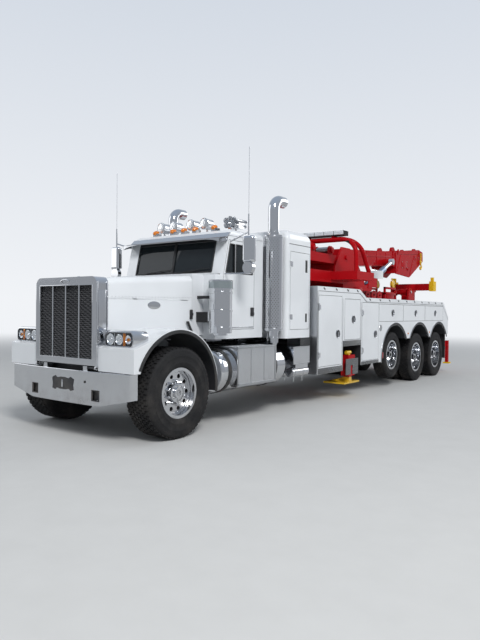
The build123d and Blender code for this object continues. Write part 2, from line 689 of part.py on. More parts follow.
def cab_shell():
    """Hollow cab with its cowl; screen, doors and the way to the sleeper are cut."""
    outer = prism_yz(cab_profile(0), -CAB_HALF, CAB_HALF)
    outer = fillet(outer.edges().filter_by(Axis.Y).sort_by(Axis.Z)[-2:], 70)
    room = prism_yz(cab_profile(CAB_WALL), -CAB_HALF + CAB_WALL, CAB_HALF - CAB_WALL)
    body = outer - room
    for x0, x1 in ((-SCREEN_HALF, -SCREEN_POST / 2), (SCREEN_POST / 2, SCREEN_HALF)):
        body = body - screen_pane(x0, x1, -60, 120, 0)
    for cut in both(prism_yz(door_outline(0), CAB_HALF - CAB_WALL - 60, CAB_HALF + 10)):
        body = body - cut
    body = body - block(-PASS_HALF, PASS_HALF, CAB_REAR - CAB_WALL - 5, CAB_REAR + 5,
                        CAB_BOTTOM + CAB_FLOOR + 40, CAB_ROOF - 250)
    cowl = block(-HOOD_REAR_HALF + 15, HOOD_REAR_HALF - 15, COWL_FRONT, CAB_FRONT + 1, CAB_BOTTOM + 60,
                 CAB_BELT)
    mounts = both(block(SILL_IN, RAIL_OUT, 1300, 1400, RAIL_TOP, CAB_BOTTOM + 1))
    for z in hinge_levels(DOOR_BOTTOM, CAB_BELT):
        mounts += both(hinge_pin(CAB_HALF, DOOR_FRONT, z))
    return joined([body, cowl] + mounts)


def screen_pane(x0, x1, front, back, trim):
    """A leaning slab through the screen's frame, from front to back of its plane."""
    foot, head = CAB_BELT + 50 + trim, SCREEN_HEAD_Z - 45 - trim
    lean = (SCREEN_HEAD_Y - SCREEN_FOOT_Y) / (SCREEN_HEAD_Z - CAB_BELT)
    y0 = SCREEN_FOOT_Y + lean * (foot - CAB_BELT)
    y1 = SCREEN_FOOT_Y + lean * (head - CAB_BELT)
    return prism_yz([(y0 + front, foot), (y1 + front, head), (y1 + back, head), (y0 + back, foot)],
                    x0 + trim, x1 - trim)


def windscreen():
    return [screen_pane(-SCREEN_HALF, -SCREEN_POST / 2, 12, 12 + GLASS, SEAT_GAP),
            screen_pane(SCREEN_POST / 2, SCREEN_HALF, 12, 12 + GLASS, SEAT_GAP)]


def sleeper_shell():
    """Hollow sleeper behind the cab, with a round-shouldered roof and a hatch in each side."""
    outer = block(-SLEEPER_HALF, SLEEPER_HALF, SLEEPER_FRONT, SLEEPER_REAR, SLEEPER_BOTTOM, SLEEPER_TOP)
    outer = fillet(outer.edges().filter_by(Axis.Z), SLEEPER_CORNER)
    outer = fillet(outer.edges().group_by(Axis.Z)[-1], SLEEPER_ROUND)
    w = SLEEPER_WALL
    room = block(-SLEEPER_HALF + w, SLEEPER_HALF - w, SLEEPER_FRONT + w, SLEEPER_REAR - w,
                 SLEEPER_BOTTOM + CAB_FLOOR, SLEEPER_TOP - w)
    room = fillet(room.edges().group_by(Axis.Z)[-1], SLEEPER_ROUND - w)
    body = outer - room
    neck = block(-NECK_HALF, NECK_HALF, CAB_REAR, SLEEPER_FRONT + 1, SLEEPER_BOTTOM + 80, CAB_ROOF - 150)
    body = body + neck
    body = body - block(-PASS_HALF, PASS_HALF, CAB_REAR - 5, SLEEPER_FRONT + w + 5,
                        CAB_BOTTOM + CAB_FLOOR + 40, CAB_ROOF - 250)
    hatch = block(SLEEPER_HALF - w - 5, SLEEPER_HALF + 5, HATCH_FRONT, HATCH_REAR, HATCH_BOTTOM, HATCH_TOP)
    for cut in both(hatch):
        body = body - cut
    mounts = both(block(SILL_IN, RAIL_OUT, 2850, 2950, RAIL_TOP, SLEEPER_BOTTOM + 1))
    for z in hinge_levels(HATCH_BOTTOM, HATCH_TOP):
        mounts += both(hinge_pin(SLEEPER_HALF, HATCH_FRONT, z))
    return joined([body] + mounts)


def cab_interior():
    """Two seats on their pedestals, and the dashboard with its steering wheel."""
    floor = CAB_BOTTOM + CAB_FLOOR
    seat = block(300, 740, 1480, 1600, floor, floor + 260) + block(260, 780, 1330, 1850, floor + 250,
                                                                   floor + 390)
    seat = seat + prism_yz([(1760, floor + 380), (1850, floor + 380), (1960, floor + 1080),
                            (1870, floor + 1080)], 280, 760)
    front = CAB_FRONT + CAB_WALL
    dash = prism_yz([(front, 1700), (front, CAB_BELT - 10), (1010, CAB_BELT - 10), (1190, 1960),
                     (1190, 1780), (1080, 1700)], -CAB_HALF + CAB_WALL, CAB_HALF - CAB_WALL)
    column = rod((520, 1170, 1850), (520, 1335, 1960), 28)
    wheel = Pos(520, 1330, 1957) * (Rot(-56, 0, 0) * (Torus(215, 16) + Box(420, 30, 18)))
    return both(seat) + [dash + column + wheel]


def door_outline(inset):
    """The door's side outline, whose front edge leans with the screen above the belt."""
    i = inset
    return [(DOOR_FRONT + i, DOOR_BOTTOM + i), (DOOR_FRONT + i, CAB_BELT),
            (DOOR_FRONT + DOOR_LEAN + i, DOOR_TOP - i), (DOOR_REAR - i, DOOR_TOP - i),
            (DOOR_REAR - i, DOOR_BOTTOM + i)]


def window_outlines(inset):
    """The vent pane ahead of the post and the main pane behind it."""
    i = inset
    rear_post = VENT_POST + VENT_POST_WIDTH
    vent = [(WINDOW_FRONT + i, WINDOW_BOTTOM + i), (WINDOW_FRONT + WINDOW_LEAN + i, WINDOW_TOP - i),
            (VENT_POST - i, WINDOW_TOP - i), (VENT_POST - i, WINDOW_BOTTOM + i)]
    main = [(rear_post + i, WINDOW_BOTTOM + i), (rear_post + i, WINDOW_TOP - i),
            (WINDOW_REAR - i, WINDOW_TOP - i), (WINDOW_REAR - i, WINDOW_BOTTOM + i)]
    return [vent, main]


def door():
    """Cab door with its window frame, a vent post, and the mirror's bars, mirrors and whip."""
    g = PANEL_GAP
    panel = prism_yz(door_outline(g), CAB_HALF - CAB_WALL, CAB_HALF)
    for pane in window_outlines(0):
        panel = panel - prism_yz(pane, CAB_HALF - 100, CAB_HALF + 10)
    y = DOOR_FRONT + 30
    bars = [rod((CAB_HALF - 5, y, 2075), (MIRROR_X, y + 60, 2075), 11),
            rod((CAB_HALF - 5, y + DOOR_LEAN, 2530), (MIRROR_X, y + 60, 2640), 11),
            rod((MIRROR_X, y + 60, 2060), (MIRROR_X, y + 60, 2880), 13)]
    mirror_back = Pos(MIRROR_X + 10, y + 60, 2400) * Box(190, 90, 370)
    mirror_back = fillet(mirror_back.edges(), 40)
    round_mirror = disc_y(MIRROR_X + 10, 2150, 85, y + 25, y + 95)
    whip = rod((MIRROR_X, y + 60, 2870), (MIRROR_X, y + 60, WHIP_TOP), 4)
    handle = block(CAB_HALF - 2, CAB_HALF + 14, DOOR_REAR - 70, DOOR_REAR - 30, 1480, 1600)
    sleeves = [hinge_sleeve(CAB_HALF, DOOR_FRONT, z) for z in hinge_levels(DOOR_BOTTOM, CAB_BELT)]
    return joined([panel, mirror_back, round_mirror, whip, handle] + bars + sleeves)


def door_glass():
    x = CAB_HALF - CAB_WALL / 2
    return [prism_yz(pane, x, x + GLASS) for pane in window_outlines(SEAT_GAP)]


def sleeper_hatch():
    g = PANEL_GAP
    x = SLEEPER_HALF
    panel = block(x - SLEEPER_WALL, x, HATCH_FRONT + g, HATCH_REAR - g, HATCH_BOTTOM + g, HATCH_TOP - g)
    panel = panel - block(x - 8, x + 5, HATCH_REAR - 130, HATCH_REAR - 60, 2190, 2390)
    panel = panel - block(x - 8, x + 5, HATCH_REAR - 120, HATCH_REAR - 65, 1390, 1530)
    return joined([panel] + [hinge_sleeve(x, HATCH_FRONT, z) for z in hinge_levels(HATCH_BOTTOM, HATCH_TOP)])


def roof_fittings():
    """Screen visor, five marker lamps and the row of round lamps and horns on the roof."""
    y, z = SCREEN_HEAD_Y, SCREEN_HEAD_Z
    pieces = [prism_yz([(y - 190, z - 25), (y - 188, z - 35), (y - 6, z - 6), (y, z), (y + 60, z + 62.5),
                        (y + 42, z + 78), (y - 30, z + 12)], -CAB_HALF, CAB_HALF)]
    for x in MARKER_X:
        pieces.append(Pos(x, 1400, CAB_ROOF + 25) * Box(80, 110, 50))
    for x in ROOF_LAMP_X:
        pieces.append(disc_z(x, 1530, 18, CAB_ROOF, CAB_ROOF + 90)
                      + disc_y(x, CAB_ROOF + 145, 78, 1460, 1600))
    cluster = disc_z(800, 1620, 14, CAB_ROOF, CAB_ROOF + 60) + block(700, 900, 1560, 1690, CAB_ROOF + 50,
                                                                         CAB_ROOF + 130)
    return pieces + [cluster]


def air_cleaners():
    """Upright round air cleaners beside the cowl, with their inlet elbows."""
    can = disc_z(CLEANER_X, CLEANER_Y, CLEANER_R, CLEANER_BOTTOM, CLEANER_TOP - 110)
    can = can + disc_z(CLEANER_X, CLEANER_Y, CLEANER_R + 10, CLEANER_TOP - 110, CLEANER_TOP)
    can = can + disc_z(CLEANER_X, CLEANER_Y, CLEANER_R - 60, CLEANER_BOTTOM - 30, CLEANER_BOTTOM + 5)
    duct = block(HOOD_REAR_HALF - 15, CLEANER_X, CLEANER_Y - 70, CLEANER_Y - 5, 1400, 1540)
    strap = block(HOOD_REAR_HALF - 15, CLEANER_X, CLEANER_Y - 50, CLEANER_Y - 5, 1720, 1760)
    return both(can + duct + strap)


def exhaust_stacks():
    """Upright pipes with turned-back tops, in pierced heat shields."""
    bend = 150.0
    outlet = [(STACK_X, STACK_Y, STACK_FOOT), (STACK_X, STACK_Y, STACK_TOP - STACK_R),
              (STACK_X, STACK_Y + 260, STACK_TOP - STACK_R)]
    stack = pipe(outlet, bend, STACK_R)
    stack = stack - disc_y(STACK_X, STACK_TOP - STACK_R, STACK_R - STACK_WALL * 2, STACK_Y + 150,
                           STACK_Y + 300)
    shield = disc_z(STACK_X, STACK_Y, SHIELD_R, SHIELD_BOTTOM, SHIELD_TOP)
    shield = shield - disc_z(STACK_X, STACK_Y, SHIELD_R - 8, SHIELD_BOTTOM - 5, SHIELD_TOP + 5)
    for z in (SHIELD_BOTTOM + 60, SHIELD_TOP - 60):
        shield = shield + (disc_z(STACK_X, STACK_Y, SHIELD_R - 2, z, z + 12)
                           - disc_z(STACK_X, STACK_Y, STACK_R - 2, z - 5, z + 17))
    stay = block(CAB_HALF, STACK_X - STACK_R + 10, STACK_Y - 20, STACK_Y + 20, 1185, 1225)
    foot = block(RAIL_OUT, STACK_X + 40, STACK_Y - 60, STACK_Y + 60, STACK_FOOT - 30, STACK_FOOT + 30)
    foot = foot + block(RAIL_OUT, RAIL_OUT + 60, STACK_Y - 60, STACK_Y + 60, 900, STACK_FOOT)
    return both(joined([stack, shield, stay, foot]))


def fuel_tanks():
    """Round tanks on rail brackets, with domed ends and straps."""
    tank = disc_y(TANK_X, TANK_Z, TANK_R, TANK_FRONT, TANK_REAR)
    tank = fillet(tank.edges().filter_by(GeomType.CIRCLE), 45)
    pieces = [tank]
    for y in (TANK_FRONT + 160, TANK_REAR - 300):
        pieces.append(disc_y(TANK_X, TANK_Z, TANK_R + 6, y - 30, y + 30))
        pieces.append(block(RAIL_OUT, TANK_X, y - 30, y + 30, TANK_Z - TANK_R - 20, TANK_Z - TANK_R + 40))
        pieces.append(block(RAIL_OUT, RAIL_OUT + 40, y - 30, y + 30, TANK_Z - TANK_R - 20, RAIL_TOP - 30))
    return both(joined(pieces))


def cab_steps():
    """Two-tread steps over each tank, and the side boxes and air canisters behind them."""
    top = TANK_Z + TANK_R + 12
    step = block(TANK_X + 20, STEP_OUT, STEP_FRONT, STEP_REAR, top, top + 14)
    step = step + block(STEP_OUT - 14, STEP_OUT, STEP_FRONT, STEP_REAR, 530, top + 5)
    step = step + block(TANK_X + 250, STEP_OUT + 5, STEP_FRONT - 10, STEP_REAR + 10, 520, 545)
    for y in (STEP_FRONT, STEP_REAR - 14):
        cheek = block(TANK_X + 20, STEP_OUT - 2, y, y + 14, 530, top + 5)
        step = step + (cheek - disc_y(TANK_X, TANK_Z, TANK_R + SEAT_GAP, y - 5, y + 20))
    step = step + block(RAIL_OUT, TANK_X + 30, STEP_FRONT + 300, STEP_FRONT + 360, top, top + 14)
    step = step + block(RAIL_OUT, RAIL_OUT + 40, STEP_FRONT + 300, STEP_FRONT + 360, 980, top + 14)
    box = block(RAIL_OUT, 1240, BOX_FRONT, BOX_REAR, 730, 1010)
    cans = [disc_y(x, 600, 75, BOX_FRONT, BOX_REAR - 20) for x in (1000, 1165)]
    shelf = block(900, 1240, BOX_FRONT + 60, BOX_REAR - 60, 660, 735)
    return both(step) + both(joined([box, shelf] + cans))


# Recovery body
def arch_places():
    return [PUSHER_Y, DRIVE_Y, DRIVE_Y + TANDEM_SPACING]


def body_side():
    """One side of the body: the front cabinet with its lockers and the outrigger's bay under the
    stepped top, and behind it the section over the wheels with its arches and mudflap."""
    rear_bottom = ARCH_Z + 430
    outline = [(BODY_FRONT, BODY_BOTTOM), (BODY_FRONT, BODY_HIGH), (STEP_DOWN_START, BODY_HIGH),
               (STEP_DOWN_END, BODY_LOW), (TAIL_CHAMFER_Y, BODY_LOW), (BODY_REAR, TAIL_CHAMFER_Z),
               (BODY_REAR, rear_bottom), (arch_places()[2], rear_bottom),
               (arch_places()[2], ARCH_BETWEEN_Z), (arch_places()[0], ARCH_BETWEEN_Z),
               (arch_places()[0], BODY_MID_BOTTOM), (BAY_REAR, BODY_MID_BOTTOM), (BAY_REAR, BAY_TOP),
               (BAY_FRONT, BAY_TOP), (BAY_FRONT, BODY_BOTTOM)]
    side = prism_yz(outline, BODY_INNER, BODY_HALF)
    for y in arch_places():
        side = side - disc_x(y, ARCH_Z, ARCH_R, BODY_INNER - 10, BODY_HALF + 10)
    skin = BODY_SKIN
    for name, y0, y1, z0, z1 in LOCKERS:
        side = side - block(BODY_INNER + skin, BODY_HALF + 10, y0, y1, z0, z1)
        for z in hinge_levels(z0, z1):
            side = side + hinge_pin(BODY_HALF, y0, z)
    for y0, y1, z0, z1 in FIXED_PANELS:
        panel = block(BODY_HALF - SEAM_DEPTH, BODY_HALF + 10, y0, y1, z0, z1)
        w = SEAM_WIDTH
        panel = panel - block(BODY_HALF - 50, BODY_HALF + 20, y0 + w, y1 - w, z0 + w, z1 - w)
        side = side - panel
        side = side + disc_x(y0 + (y1 - y0) * 0.55, (z0 + z1) / 2, LATCH_R, BODY_HALF - 5,
                             BODY_HALF + LATCH_PROUD - 2)
    side = side + block(700, 1230, BODY_REAR - 30, BODY_REAR - 14, 400, ARCH_Z + 435)
    gap = SEAT_GAP / 2
    cabinet = side - block(0, BODY_HALF + 50, CABINET_END - gap, BODY_REAR + 10, 0, 3000)
    section = side - block(0, BODY_HALF + 50, BODY_FRONT - 10, CABINET_END + gap, 0, 3000)
    return [cabinet, section]


def body_shell():
    """The deck with its bulkhead and tailboard, and the cabinets and sections bedded against it."""
    half = BODY_INNER - SEAT_GAP
    deck = block(-half, half, BODY_FRONT, TAIL_CHAMFER_Y, DECK_BOTTOM, DECK_TOP)
    deck = deck - disc_z(0, TURRET_Y, PEDESTAL_R + SEAT_GAP, DECK_BOTTOM - 5, DECK_TOP + 5)
    bulkhead = block(-half, half, BODY_FRONT, BODY_FRONT + BODY_SKIN, DECK_BOTTOM, BODY_HIGH - 40)
    tailboard = block(-half, half, TAIL_CHAMFER_Y - 30, TAIL_CHAMFER_Y, DECK_BOTTOM, TAIL_CHAMFER_Z)
    pieces = [joined([deck, bulkhead, tailboard])]
    for side in body_side():
        pieces += both(side)
    return pieces


def locker_door(y0, y1, z0, z1):
    """A flush locker door with its round latch near the rear edge."""
    g = PANEL_GAP
    panel = block(BODY_HALF - BODY_SKIN, BODY_HALF, y0 + g, y1 - g, z0 + g, z1 - g)
    latch = disc_x(y1 - 150, (z0 + z1) / 2 - 60, LATCH_R, BODY_HALF - 5, BODY_HALF + LATCH_PROUD - 2)
    return joined([panel, latch] + [hinge_sleeve(BODY_HALF, y0, z) for z in hinge_levels(z0, z1)])


def recovery_subframe():
    """Sills on the rails, the turret's pedestal, the outrigger housing, the tail beam and mast."""
    sill = block(SILL_IN, SILL_OUT, BODY_FRONT + 60, RAIL_REAR, RAIL_TOP, DECK_BOTTOM)
    pieces = both(sill)
    pieces.append(block(-SILL_OUT, SILL_OUT, TURRET_Y - 560, TURRET_Y + 560, 1140, DECK_BOTTOM))
    pieces.append(disc_z(0, TURRET_Y, PEDESTAL_R, DECK_BOTTOM - 60, SLEW_BOTTOM))
    low, high = BEAM_BOTTOM - PIN_GAP - HOUSING_WALL, BEAM_BOTTOM + BEAM_HEIGHT + PIN_GAP + HOUSING_WALL
    half = BEAM_WIDTH + 2 * SLIDE_GAP + 1.5 * HOUSING_WALL
    housing = block(-HOUSING_HALF, HOUSING_HALF, OUTRIGGER_Y - half, OUTRIGGER_Y + half, low, high)
    for sign in (-1, 1):
        y = OUTRIGGER_Y + sign * beam_offset()
        w = BEAM_WIDTH / 2 + PIN_GAP
        housing = housing - block(-HOUSING_HALF - 5, HOUSING_HALF + 5, y - w, y + w,
                                  low + HOUSING_WALL, high - HOUSING_WALL)
    pieces.append(housing)
    hanger = block(RAIL_OUT + 5, SILL_OUT, OUTRIGGER_Y - half, OUTRIGGER_Y + half, high - 5, RAIL_TOP + 30)
    pieces += both(hanger)
    mast = block(-MAST_HALF, MAST_HALF, MAST_FRONT, MAST_REAR, MAST_BOTTOM, MAST_TOP)
    pieces.append(mast)
    pieces.append(block(-SILL_OUT, SILL_OUT, RAIL_REAR - 120, MAST_FRONT + 10, RAIL_TOP, DECK_BOTTOM))
    pieces.append(block(-SILL_OUT, SILL_OUT, RAIL_REAR, MAST_FRONT + 10, RAIL_BOTTOM, RAIL_TOP + 10))
    beam_y = REAR_LEG_Y - REAR_LEG_SIDE
    pieces.append(block(-REAR_LEG_X, REAR_LEG_X, beam_y - 150, beam_y + 100, TAIL_BEAM_BOTTOM, TAIL_BEAM_TOP))
    w = REAR_LEG_SIDE / 2
    leg = block(REAR_LEG_X - w, REAR_LEG_X + w, REAR_LEG_Y - w, REAR_LEG_Y + w, REAR_FOOT_LOW + 30,
                REAR_LEG_TOP)
    foot = block(REAR_LEG_X - REAR_FOOT_HALF, REAR_LEG_X + REAR_FOOT_HALF, REAR_LEG_Y - REAR_FOOT_HALF,
                 REAR_LEG_Y + REAR_FOOT_HALF, REAR_FOOT_LOW, REAR_FOOT_LOW + 35)
    pieces += both(leg + foot)
    lug = block(LIFT_ARM_HALF + PANEL_GAP, LIFT_ARM_HALF + 60, MAST_REAR - 10, FOLD_Y + 90, FOLD_Z - 90,
                FOLD_Z + 90)
    pieces += both(lug)
    body = joined(pieces)
    return body - disc_x(FOLD_Y, FOLD_Z, FOLD_PIN_R + PIN_GAP, -400, 400)


def beam_offset():
    return BEAM_WIDTH / 2 + SLIDE_GAP + HOUSING_WALL / 4


def outrigger_beam(sign):
    """The sliding beam with the jack's tube at its outer end; sign is the side's own offset."""
    y = OUTRIGGER_Y + sign * beam_offset()
    w = BEAM_WIDTH / 2
    beam = block(BEAM_INNER_END, BEAM_OUTER_END + 5, y - w, y + w, BEAM_BOTTOM, BEAM_BOTTOM + BEAM_HEIGHT)
    d = JACK_DEPTH / 2
    jack = block(BEAM_OUTER_END, BEAM_OUTER_END + JACK_WIDTH, OUTRIGGER_Y - d, OUTRIGGER_Y + d,
                 JACK_BOTTOM, JACK_TOP)
    x = BEAM_OUTER_END + JACK_WIDTH / 2
    s = LEG_SIDE / 2 + PIN_GAP
    return beam + jack - block(x - s, x + s, OUTRIGGER_Y - s, OUTRIGGER_Y + s, JACK_BOTTOM - 5,
                               JACK_TOP - JACK_WALL)


def outrigger_leg():
    """The jack's inner leg with its foot pad."""
    x = BEAM_OUTER_END + JACK_WIDTH / 2
    s = LEG_SIDE / 2
    leg = block(x - s, x + s, OUTRIGGER_Y - s, OUTRIGGER_Y + s, PAD_LOW + PAD_THICK - 2,
                JACK_TOP - LEG_HEADROOM)
    half = PAD_LENGTH / 2
    pad = block(PAD_INNER, PAD_OUTER, OUTRIGGER_Y - half, OUTRIGGER_Y + half, PAD_LOW, PAD_LOW + PAD_THICK)
    rib = prism_xz([(PAD_INNER + 60, PAD_LOW + 20), (x, PAD_LOW + 20), (x, JACK_BOTTOM - 15),
                    (x - s, JACK_BOTTOM - 15)], OUTRIGGER_Y - 20, OUTRIGGER_Y + 20)
    return joined([leg, pad, rib])


# Underlift
def underlift_arm():
    arm = block(-LIFT_ARM_HALF, LIFT_ARM_HALF, LIFT_ARM_FRONT, LIFT_ARM_REAR, FOLD_Z - 80, LIFT_ARM_TOP)
    pin = disc_x(FOLD_Y, FOLD_Z, FOLD_PIN_R, -LIFT_ARM_HALF - 60, LIFT_ARM_HALF + 60)
    return arm + pin


def underlift_crossbar():
    """The neck, the crossbar and the fork receivers at its ends."""
    neck = block(-110, 110, LIFT_ARM_FRONT + 20, CROSSBAR_FRONT + 5, LIFT_ARM_TOP, CROSSBAR_TOP - 20)
    bar = block(-CROSSBAR_HALF, CROSSBAR_HALF, CROSSBAR_FRONT, CROSSBAR_REAR, CROSSBAR_BOTTOM, CROSSBAR_TOP)
    ends = block(CROSSBAR_HALF - 10, CROSSBAR_HALF + 110, CROSSBAR_FRONT - 20, CROSSBAR_REAR + 20,
                 CROSSBAR_BOTTOM - 20, CROSSBAR_TOP + 60)
    bore = disc_z(CROSSBAR_HALF + 50, CROSSBAR_REAR - 40, FORK_PIN_R, CROSSBAR_BOTTOM - 30,
                  CROSSBAR_TOP + 70)
    ends = ends - bore
    hook = block(CROSSBAR_HALF + 15, CROSSBAR_HALF + 85, CROSSBAR_FRONT + 20, CROSSBAR_FRONT + 110,
                 CROSSBAR_TOP + 50, CROSSBAR_TOP + 170)
    return joined([neck, bar] + both(ends) + both(hook))


# Turret
def turret_frame():
    """Slewing base, tail beam, boom tower, winch deck and the lift cylinders' feet."""
    base = disc_z(0, TURRET_Y, SLEW_R, SLEW_BOTTOM + SLEW_GAP, TURRET_BOTTOM + 60)
    base = base + block(-TAIL_HALF, TAIL_HALF, 5500, 6900, TURRET_BOTTOM, TAIL_BOTTOM + 20)
    tail = block(-TAIL_HALF, TAIL_HALF, TAIL_FRONT, 6500, TAIL_BOTTOM, TAIL_TOP)
    plate = prism_yz([(5560, TAIL_BOTTOM), (5560, 2500), (5860, 2930), (6240, 2930), (6620, 2640),
                      (6950, 2300), (6950, TURRET_BOTTOM), (6400, TURRET_BOTTOM)],
                     TOWER_IN, TOWER_IN + TOWER_PLATE)
    pieces = [base, tail] + both(plate)
    pieces.append(disc_x(BOOM_PIVOT_Y, BOOM_PIVOT_Z, BOOM_PIN_R, -TOWER_IN - 70, TOWER_IN + 70))
    deck = block(-DECK_HALF - 5, DECK_HALF + 5, WINCH_DECK_FRONT, WINCH_DECK_REAR, WINCH_DECK_BOTTOM,
                 WINCH_DECK_TOP)
    post = block(-DECK_HALF, DECK_HALF, 5640, WINCH_DECK_REAR, TAIL_TOP - 5, WINCH_DECK_BOTTOM + 5)
    pieces += [deck, post]
    y, z = CYLINDER_FOOT_Y, CYLINDER_FOOT_Z
    x = CYLINDER_X
    ear = prism_yz([(y - 110, TURRET_BOTTOM), (y - 60, z + 70), (y + 60, z + 70), (y + 110, TURRET_BOTTOM)],
                   x + 80, x + 98)
    pieces += both(ear)
    pieces += both(disc_x(y, z, EYE_PIN_R, TOWER_IN + 10, x + 98))
    panel = block(TAIL_HALF - 2, TAIL_HALF + 14, 6700, 7150, 2120, 2520)
    ledge = block(x + 90, TAIL_HALF + 10, 6700, 6900, TURRET_BOTTOM + 60, 2160)
    pieces += both(panel + ledge)
    body = joined(pieces)
    for cut in both(block(TOWER_IN + TOWER_PLATE + 4, x + 80, y - 130, 7000, TURRET_BOTTOM - 5, 2600)):
        keep = disc_x(y, z, EYE_PIN_R, TOWER_IN, x + 98)
        body = body - (cut - keep - mirrored(keep))
    return body


def winches():
    """Two drums with their flanges and gear cases on the winch deck."""
    pieces = []
    for y in WINCH_Y:
        drum = disc_x(y, WINCH_Z, DRUM_R, -DRUM_HALF, DRUM_HALF)
        for x in (-DRUM_HALF, 0, DRUM_HALF):
            drum = drum + disc_x(y, WINCH_Z, DRUM_FLANGE_R, x - 9, x + 9)
        drum = drum + block(-DRUM_HALF - 25, -DRUM_HALF + 5, y - 90, y + 90, WINCH_DECK_TOP, WINCH_Z + 90)
        drum = drum + block(DRUM_HALF - 5, DRUM_HALF + 25, y - 90, y + 90, WINCH_DECK_TOP, WINCH_Z + 90)
        pieces.append(drum)
    return pieces


def light_hoop():
    """Two bent tubes over the boom on boxes beside the tail beam, with the light bar on top."""
    foot = HOOP_BASE_TOP - 10
    front = pipe([(-HOOP_X, HOOP_Y, foot), (-HOOP_X, HOOP_Y, HOOP_TOP_Z), (HOOP_X, HOOP_Y, HOOP_TOP_Z),
                  (HOOP_X, HOOP_Y, foot)], HOOP_BEND, HOOP_R)
    back = pipe([(-HOOP_X, HOOP_BACK_FOOT_Y, foot), (-HOOP_X, HOOP_BACK_TOP_Y, HOOP_TOP_Z),
                 (HOOP_X, HOOP_BACK_TOP_Y, HOOP_TOP_Z), (HOOP_X, HOOP_BACK_FOOT_Y, foot)],
                HOOP_BEND, HOOP_R)
    base = block(TAIL_HALF, HOOP_BASE_OUT, HOOP_BASE_FRONT, HOOP_BASE_REAR, HOOP_BASE_BOTTOM, HOOP_BASE_TOP)
    bar = block(-LIGHT_BAR_HALF, LIGHT_BAR_HALF, HOOP_Y - 70, HOOP_Y + 130, LIGHT_BAR_BOTTOM, LIGHT_BAR_TOP)
    pieces = [front, back, bar] + both(base)
    for x in (-600, 0, 600):
        pieces.append(block(x - 30, x + 30, HOOP_Y - 20, HOOP_BACK_TOP_Y + 20, HOOP_TOP_Z, LIGHT_BAR_BOTTOM + 5))
    return joined(pieces)


# Boom, drawn level from its pivot and then tilted
def on_boom(shape):
    tilt = Location((0, BOOM_PIVOT_Y, BOOM_PIVOT_Z), (BOOM_TILT, 0, 0))
    return tilt * shape


def boom_base():
    outer = block(-BOOM_HALF, BOOM_HALF, BOOM_BUTT, BOOM_MOUTH, BOOM_LOW, BOOM_HIGH)
    w = BOOM_WALL
    hollow = block(-BOOM_HALF + w, BOOM_HALF - w, INNER_START - 60, BOOM_MOUTH + 5, BOOM_LOW + w,
                   BOOM_HIGH - w)
    body = outer - hollow
    cheek = block(BOOM_HALF - 2, TOWER_IN - PANEL_GAP, -90, 90, -90, 90)
    lug = disc_x(CYLINDER_LUG_U, CYLINDER_LUG_V, EYE_R, BOOM_HALF - 5, CYLINDER_X - 60)
    collar = block(-BOOM_HALF - 20, BOOM_HALF + 20, BOOM_MOUTH - 90, BOOM_MOUTH, BOOM_LOW - 20,
                   BOOM_HIGH + 20)
    collar = collar - block(-BOOM_HALF + w, BOOM_HALF - w, BOOM_MOUTH - 100, BOOM_MOUTH + 5,
                            BOOM_LOW + w, BOOM_HIGH - w)
    pad = block(-BOOM_HALF + 2, BOOM_HALF - 2, BOOM_MOUTH - 120, BOOM_MOUTH - 10, BOOM_LOW + 2, BOOM_HIGH - 2)
    inner = BOOM_WALL + SLIDE_GAP - PIN_GAP
    pad = pad - block(-BOOM_HALF + inner, BOOM_HALF - inner, BOOM_MOUTH - 130, BOOM_MOUTH,
                      BOOM_LOW + inner, BOOM_HIGH - inner)
    body = joined([body, collar, pad] + both(cheek) + both(lug))
    return on_boom(body - disc_x(0, 0, BOOM_PIN_R + PIN_GAP, -TOWER_IN, TOWER_IN))


def boom_head():
    """The inner stage with its head box, sheaves and tip."""
    w = BOOM_WALL + SLIDE_GAP
    inner = block(-BOOM_HALF + w, BOOM_HALF - w, INNER_START, INNER_END, BOOM_LOW + w, BOOM_HIGH - w)
    w = BOOM_WALL + PIN_GAP
    shoe = block(-BOOM_HALF + w, BOOM_HALF - w, INNER_START, INNER_START + 110, BOOM_LOW + w, BOOM_HIGH - w)
    inner = inner + shoe
    start = BOOM_MOUTH + 12
    outline = [(start + u, v) for u, v in HEAD_OUTLINE]
    cheek = prism_yz(outline, HEAD_HALF - 30, HEAD_HALF)
    pieces = [inner] + both(cheek)
    pieces.append(block(-HEAD_HALF, HEAD_HALF, start, start + 40, -360, 150))
    pieces.append(block(-HEAD_HALF + 5, HEAD_HALF - 5, start + 30, start + 1350, -200, 130))
    for u, v in ((start + 150, 190.0), (start + 1700, 180.0)):
        for x in SHEAVE_X:
            pieces.append(disc_x(u, v, SHEAVE_R, x - SHEAVE_WIDTH / 2, x + SHEAVE_WIDTH / 2))
        pieces.append(disc_x(u, v, 28, -HEAD_HALF + 5, HEAD_HALF - 5))
    return on_boom(joined(pieces))


def cylinder_line():
    foot = Vector(0, CYLINDER_FOOT_Y, CYLINDER_FOOT_Z)
    a = radians(BOOM_TILT)
    lug = Vector(0, BOOM_PIVOT_Y + CYLINDER_LUG_U * cos(a) - CYLINDER_LUG_V * sin(a),
                 BOOM_PIVOT_Z + CYLINDER_LUG_U * sin(a) + CYLINDER_LUG_V * cos(a))
    return foot, lug, (lug - foot).normalized()


